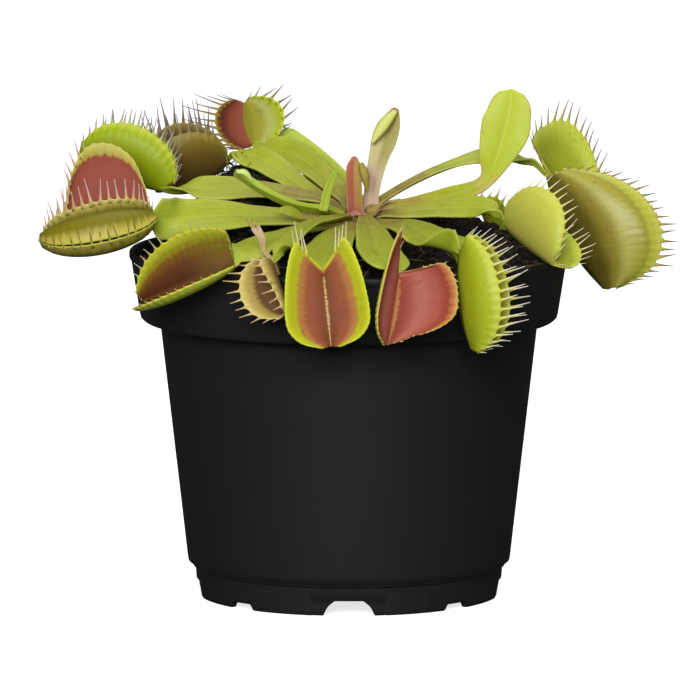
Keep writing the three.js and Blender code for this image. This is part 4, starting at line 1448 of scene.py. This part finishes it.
def fibre(g):
    line = g.first(
        "GeometryNodeCurveQuadraticBezier",
        {"Resolution": 8, "Start": (-0.5, 0, 0), "Middle": (0, 0.22, 0.16), "End": (0.5, 0, 0)},
    )
    ring = g.first("GeometryNodeCurvePrimitiveCircle", {"Resolution": 4, "Radius": 0.018})
    return g.first("GeometryNodeCurveToMesh", {"Curve": line, "Profile Curve": ring, "Fill Caps": True})


def surface_patch(name, surface, centre, radius):
    """The part of the soil's surface within a circle, for things to be strewn on."""
    rows, cols = surface.shape[:2]
    faces = []
    for r in range(rows - 1):
        for c in range(cols):
            d = (c + 1) % cols
            if math.hypot(surface[r, c, 0] - centre[0], surface[r, c, 1] - centre[1]) < radius:
                faces.append((r * cols + c, (r + 1) * cols + c, (r + 1) * cols + d, r * cols + d))
    mesh = bpy.data.meshes.new(name)
    mesh.from_pydata(surface.reshape(-1, 3) * MM, [], faces)
    return mesh


def build_strewn(surface):
    crumbs, fibres = scatter_tree("strewn_crumbs", crumb), scatter_tree("strewn_fibres", fibre)
    dark = peat_finish("peat_crumbs", (20, 16, 12), (54, 42, 32), 0.15)
    pale = peat_finish("pale_grit", (110, 96, 78), (176, 160, 132), 0.1)
    dry = peat_finish("dry_fibre", (92, 72, 48), (150, 126, 92), 0.05)
    moss = peat_finish("grey_moss", (36, 38, 26), (96, 92, 70), 0.05)

    def strew(name, tree, centre, radius, smallest, largest, **sizes):
        patch = surface_patch(name + "_patch", surface, centre, radius)
        sizes = {"smallest": smallest * MM, "largest": largest * MM, **sizes}
        mesh = grown_mesh(name, patch, tree, **sizes)
        mesh.shade_smooth()
        add_piece(name, mesh)

    middle, over_all = (0, 0), 41.5
    strew(
        "peat_crumbs_fine", crumbs, middle, over_all, 0.5, 1.3,
        density=3.4e5, crumple=0.5 * MM, seed=3, finish=dark,
    )
    strew(
        "peat_crumbs_coarse", crumbs, middle, over_all, 1.2, 2.6,
        density=4.5e4, crumple=1.2 * MM, crumple_scale=500.0, seed=5, finish=dark,
    )
    strew(
        "pale_grit", crumbs, middle, 20, 0.5, 1.1,
        density=3.0e4, crumple=0.5 * MM, seed=8, finish=pale,
    )
    strew(
        "dry_fibres", fibres, middle, over_all, 3, 8,
        density=4.2e4, tumble=0.5, crumple=2.2 * MM, crumple_scale=260.0,
        lift=0.3 * MM, seed=11, finish=dry,
    )
    strew(
        "moss_tangle", fibres, HUMMOCK, HUMMOCK_RADIUS, 2, 5.5,
        density=6.0e5, tumble=1.3, crumple=2.0 * MM, crumple_scale=420.0,
        lift=1.1 * MM, seed=13, finish=moss,
    )


# ---------- crown ----------
CROWN_ROWS, CROWN_COLUMNS = 26, 96
CROWN_SHARES, CROWN_RADII = [0, 0.3, 0.62, 0.85, 1], [3.4, 4.6, 4.3, 2.6, 0.25]
CROWN_BELOW, CROWN_ABOVE = 5.5, 0.4


def crown_finish():
    f = firm_finish("pink_crown_tissue", 0.5)
    streak = f.grain(420, 4.0)
    share = f.figure("MULTIPLY_ADD", f.figure("SUBTRACT", streak, 0.5), 0.6, f.place("along"))
    f.bump(streak, 0.2, 0.5)
    return f.colour(f.ramp(share, [(0.0, 70, 50, 36), (0.55, 150, 96, 78), (1.0, 178, 118, 104)]))


def build_crown():
    """The bulb that the leaves grow from, wrapped in the feet of old leaves."""
    low, high = (np.array(c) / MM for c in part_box("crown"))
    x, y = (low[:2] + high[:2]) / 2
    angles = np.linspace(0, 2 * math.pi, CROWN_COLUMNS, endpoint=False)
    shares = np.linspace(0, 1, CROWN_ROWS)
    grid = np.empty((CROWN_ROWS, CROWN_COLUMNS, 3))
    for r, share in enumerate(shares):
        fold = 0.09 * np.cos(7 * angles + share * 2.2) + 0.05 * np.cos(13 * angles - share * 3)
        radius = np.interp(share, CROWN_SHARES, CROWN_RADII) * (1 + fold * (1 - share * 0.5))
        heights = np.full(CROWN_COLUMNS, mix(low[2] - CROWN_BELOW, high[2] + CROWN_ABOVE, share))
        grid[r] = np.stack([x + radius * np.cos(angles), y + radius * np.sin(angles), heights], 1)
    piece = Piece("leaf_crown")
    piece.add_tube(grid, {"along": shares[:, None]})
    piece.build([crown_finish()], replaces="crown")


# ---------- stage ----------
FLOOR_REACH = 30
EYE_DISTANCE, EYE_ELEVATION = 2.5, math.radians(8)
SENSOR_WIDTH, VIEW_WIDTH = 36, 0.14268
VIEW_ASIDE, VIEW_HEIGHT = -0.0002, 0.0502


def build_floor():
    r = FLOOR_REACH
    mesh = bpy.data.meshes.new("pale_floor")
    mesh.from_pydata([(-r, -r, 0), (r, -r, 0), (r, r, 0), (-r, r, 0)], [], [(0, 1, 2, 3)])
    f = Finish("pale_floor", roughness=0.9, Emission_Color=(1, 1, 1, 1), Emission_Strength=0.75)
    mesh.materials.append(f.colour((244, 244, 244)))
    floor = bpy.data.objects.new("pale_floor", mesh)
    bpy.context.scene.collection.objects.link(floor)
    floor.visible_diffuse = floor.visible_glossy = False


def build_surroundings():
    """A white room, bright to the camera, dim on the plant and dimmer in its reflections."""
    world = bpy.data.worlds.new("studio")
    bpy.context.scene.world = world
    world.use_nodes = True
    t = NodeTree(world.node_tree)
    rays = t.new("ShaderNodeLightPath").outputs
    shone = t.first("ShaderNodeMix", {"Factor": rays["Is Glossy Ray"], "A": 0.17, "B": 0.06})
    seen = t.first("ShaderNodeMix", {"Factor": rays["Is Camera Ray"], "A": shone, "B": 1.0})
    background = t.tree.nodes["Background"]
    t.feed(background.inputs["Strength"], seen)
    t.feed(background.inputs["Color"], (255, 255, 255))


def build_softbox(name, at, size, energy):
    light = bpy.data.lights.new(name, "AREA")
    light.shape = "RECTANGLE"
    light.size, light.size_y = size
    light.energy = energy
    box = bpy.data.objects.new(name, light)
    box.location = at
    toward = Vector((0, 0, 0.07)) - box.location
    box.rotation_euler = toward.to_track_quat("-Z", "Y").to_euler()
    box.visible_camera = False
    bpy.context.scene.collection.objects.link(box)


def build_camera():
    camera = bpy.data.cameras.new("camera")
    camera.sensor_width = SENSOR_WIDTH
    camera.lens = SENSOR_WIDTH * EYE_DISTANCE / VIEW_WIDTH
    camera.clip_start, camera.clip_end = 0.1, 60
    eye = bpy.data.objects.new("camera", camera)
    target = Vector((VIEW_ASIDE, 0, VIEW_HEIGHT / math.cos(EYE_ELEVATION)))
    back = Vector((0, -math.cos(EYE_ELEVATION), math.sin(EYE_ELEVATION)))
    eye.location = target + back * EYE_DISTANCE
    eye.rotation_euler = (target - eye.location).to_track_quat("-Z", "Y").to_euler()
    bpy.context.scene.collection.objects.link(eye)
    bpy.context.scene.camera = eye
    bpy.context.scene.view_settings.view_transform = "Standard"


build_floor()
build_surroundings()
build_softbox("front_softbox", (-0.12, -1.15, 0.5), (0.7, 0.5), 15)
build_softbox("top_softbox", (0.1, 0.1, 1.1), (0.9, 0.9), 5)
build_camera()
build_pot()
build_strewn(build_soil())
build_crown()
build_leaves()
build_dry_feet()
build_withered_curl()
build_young_bract()
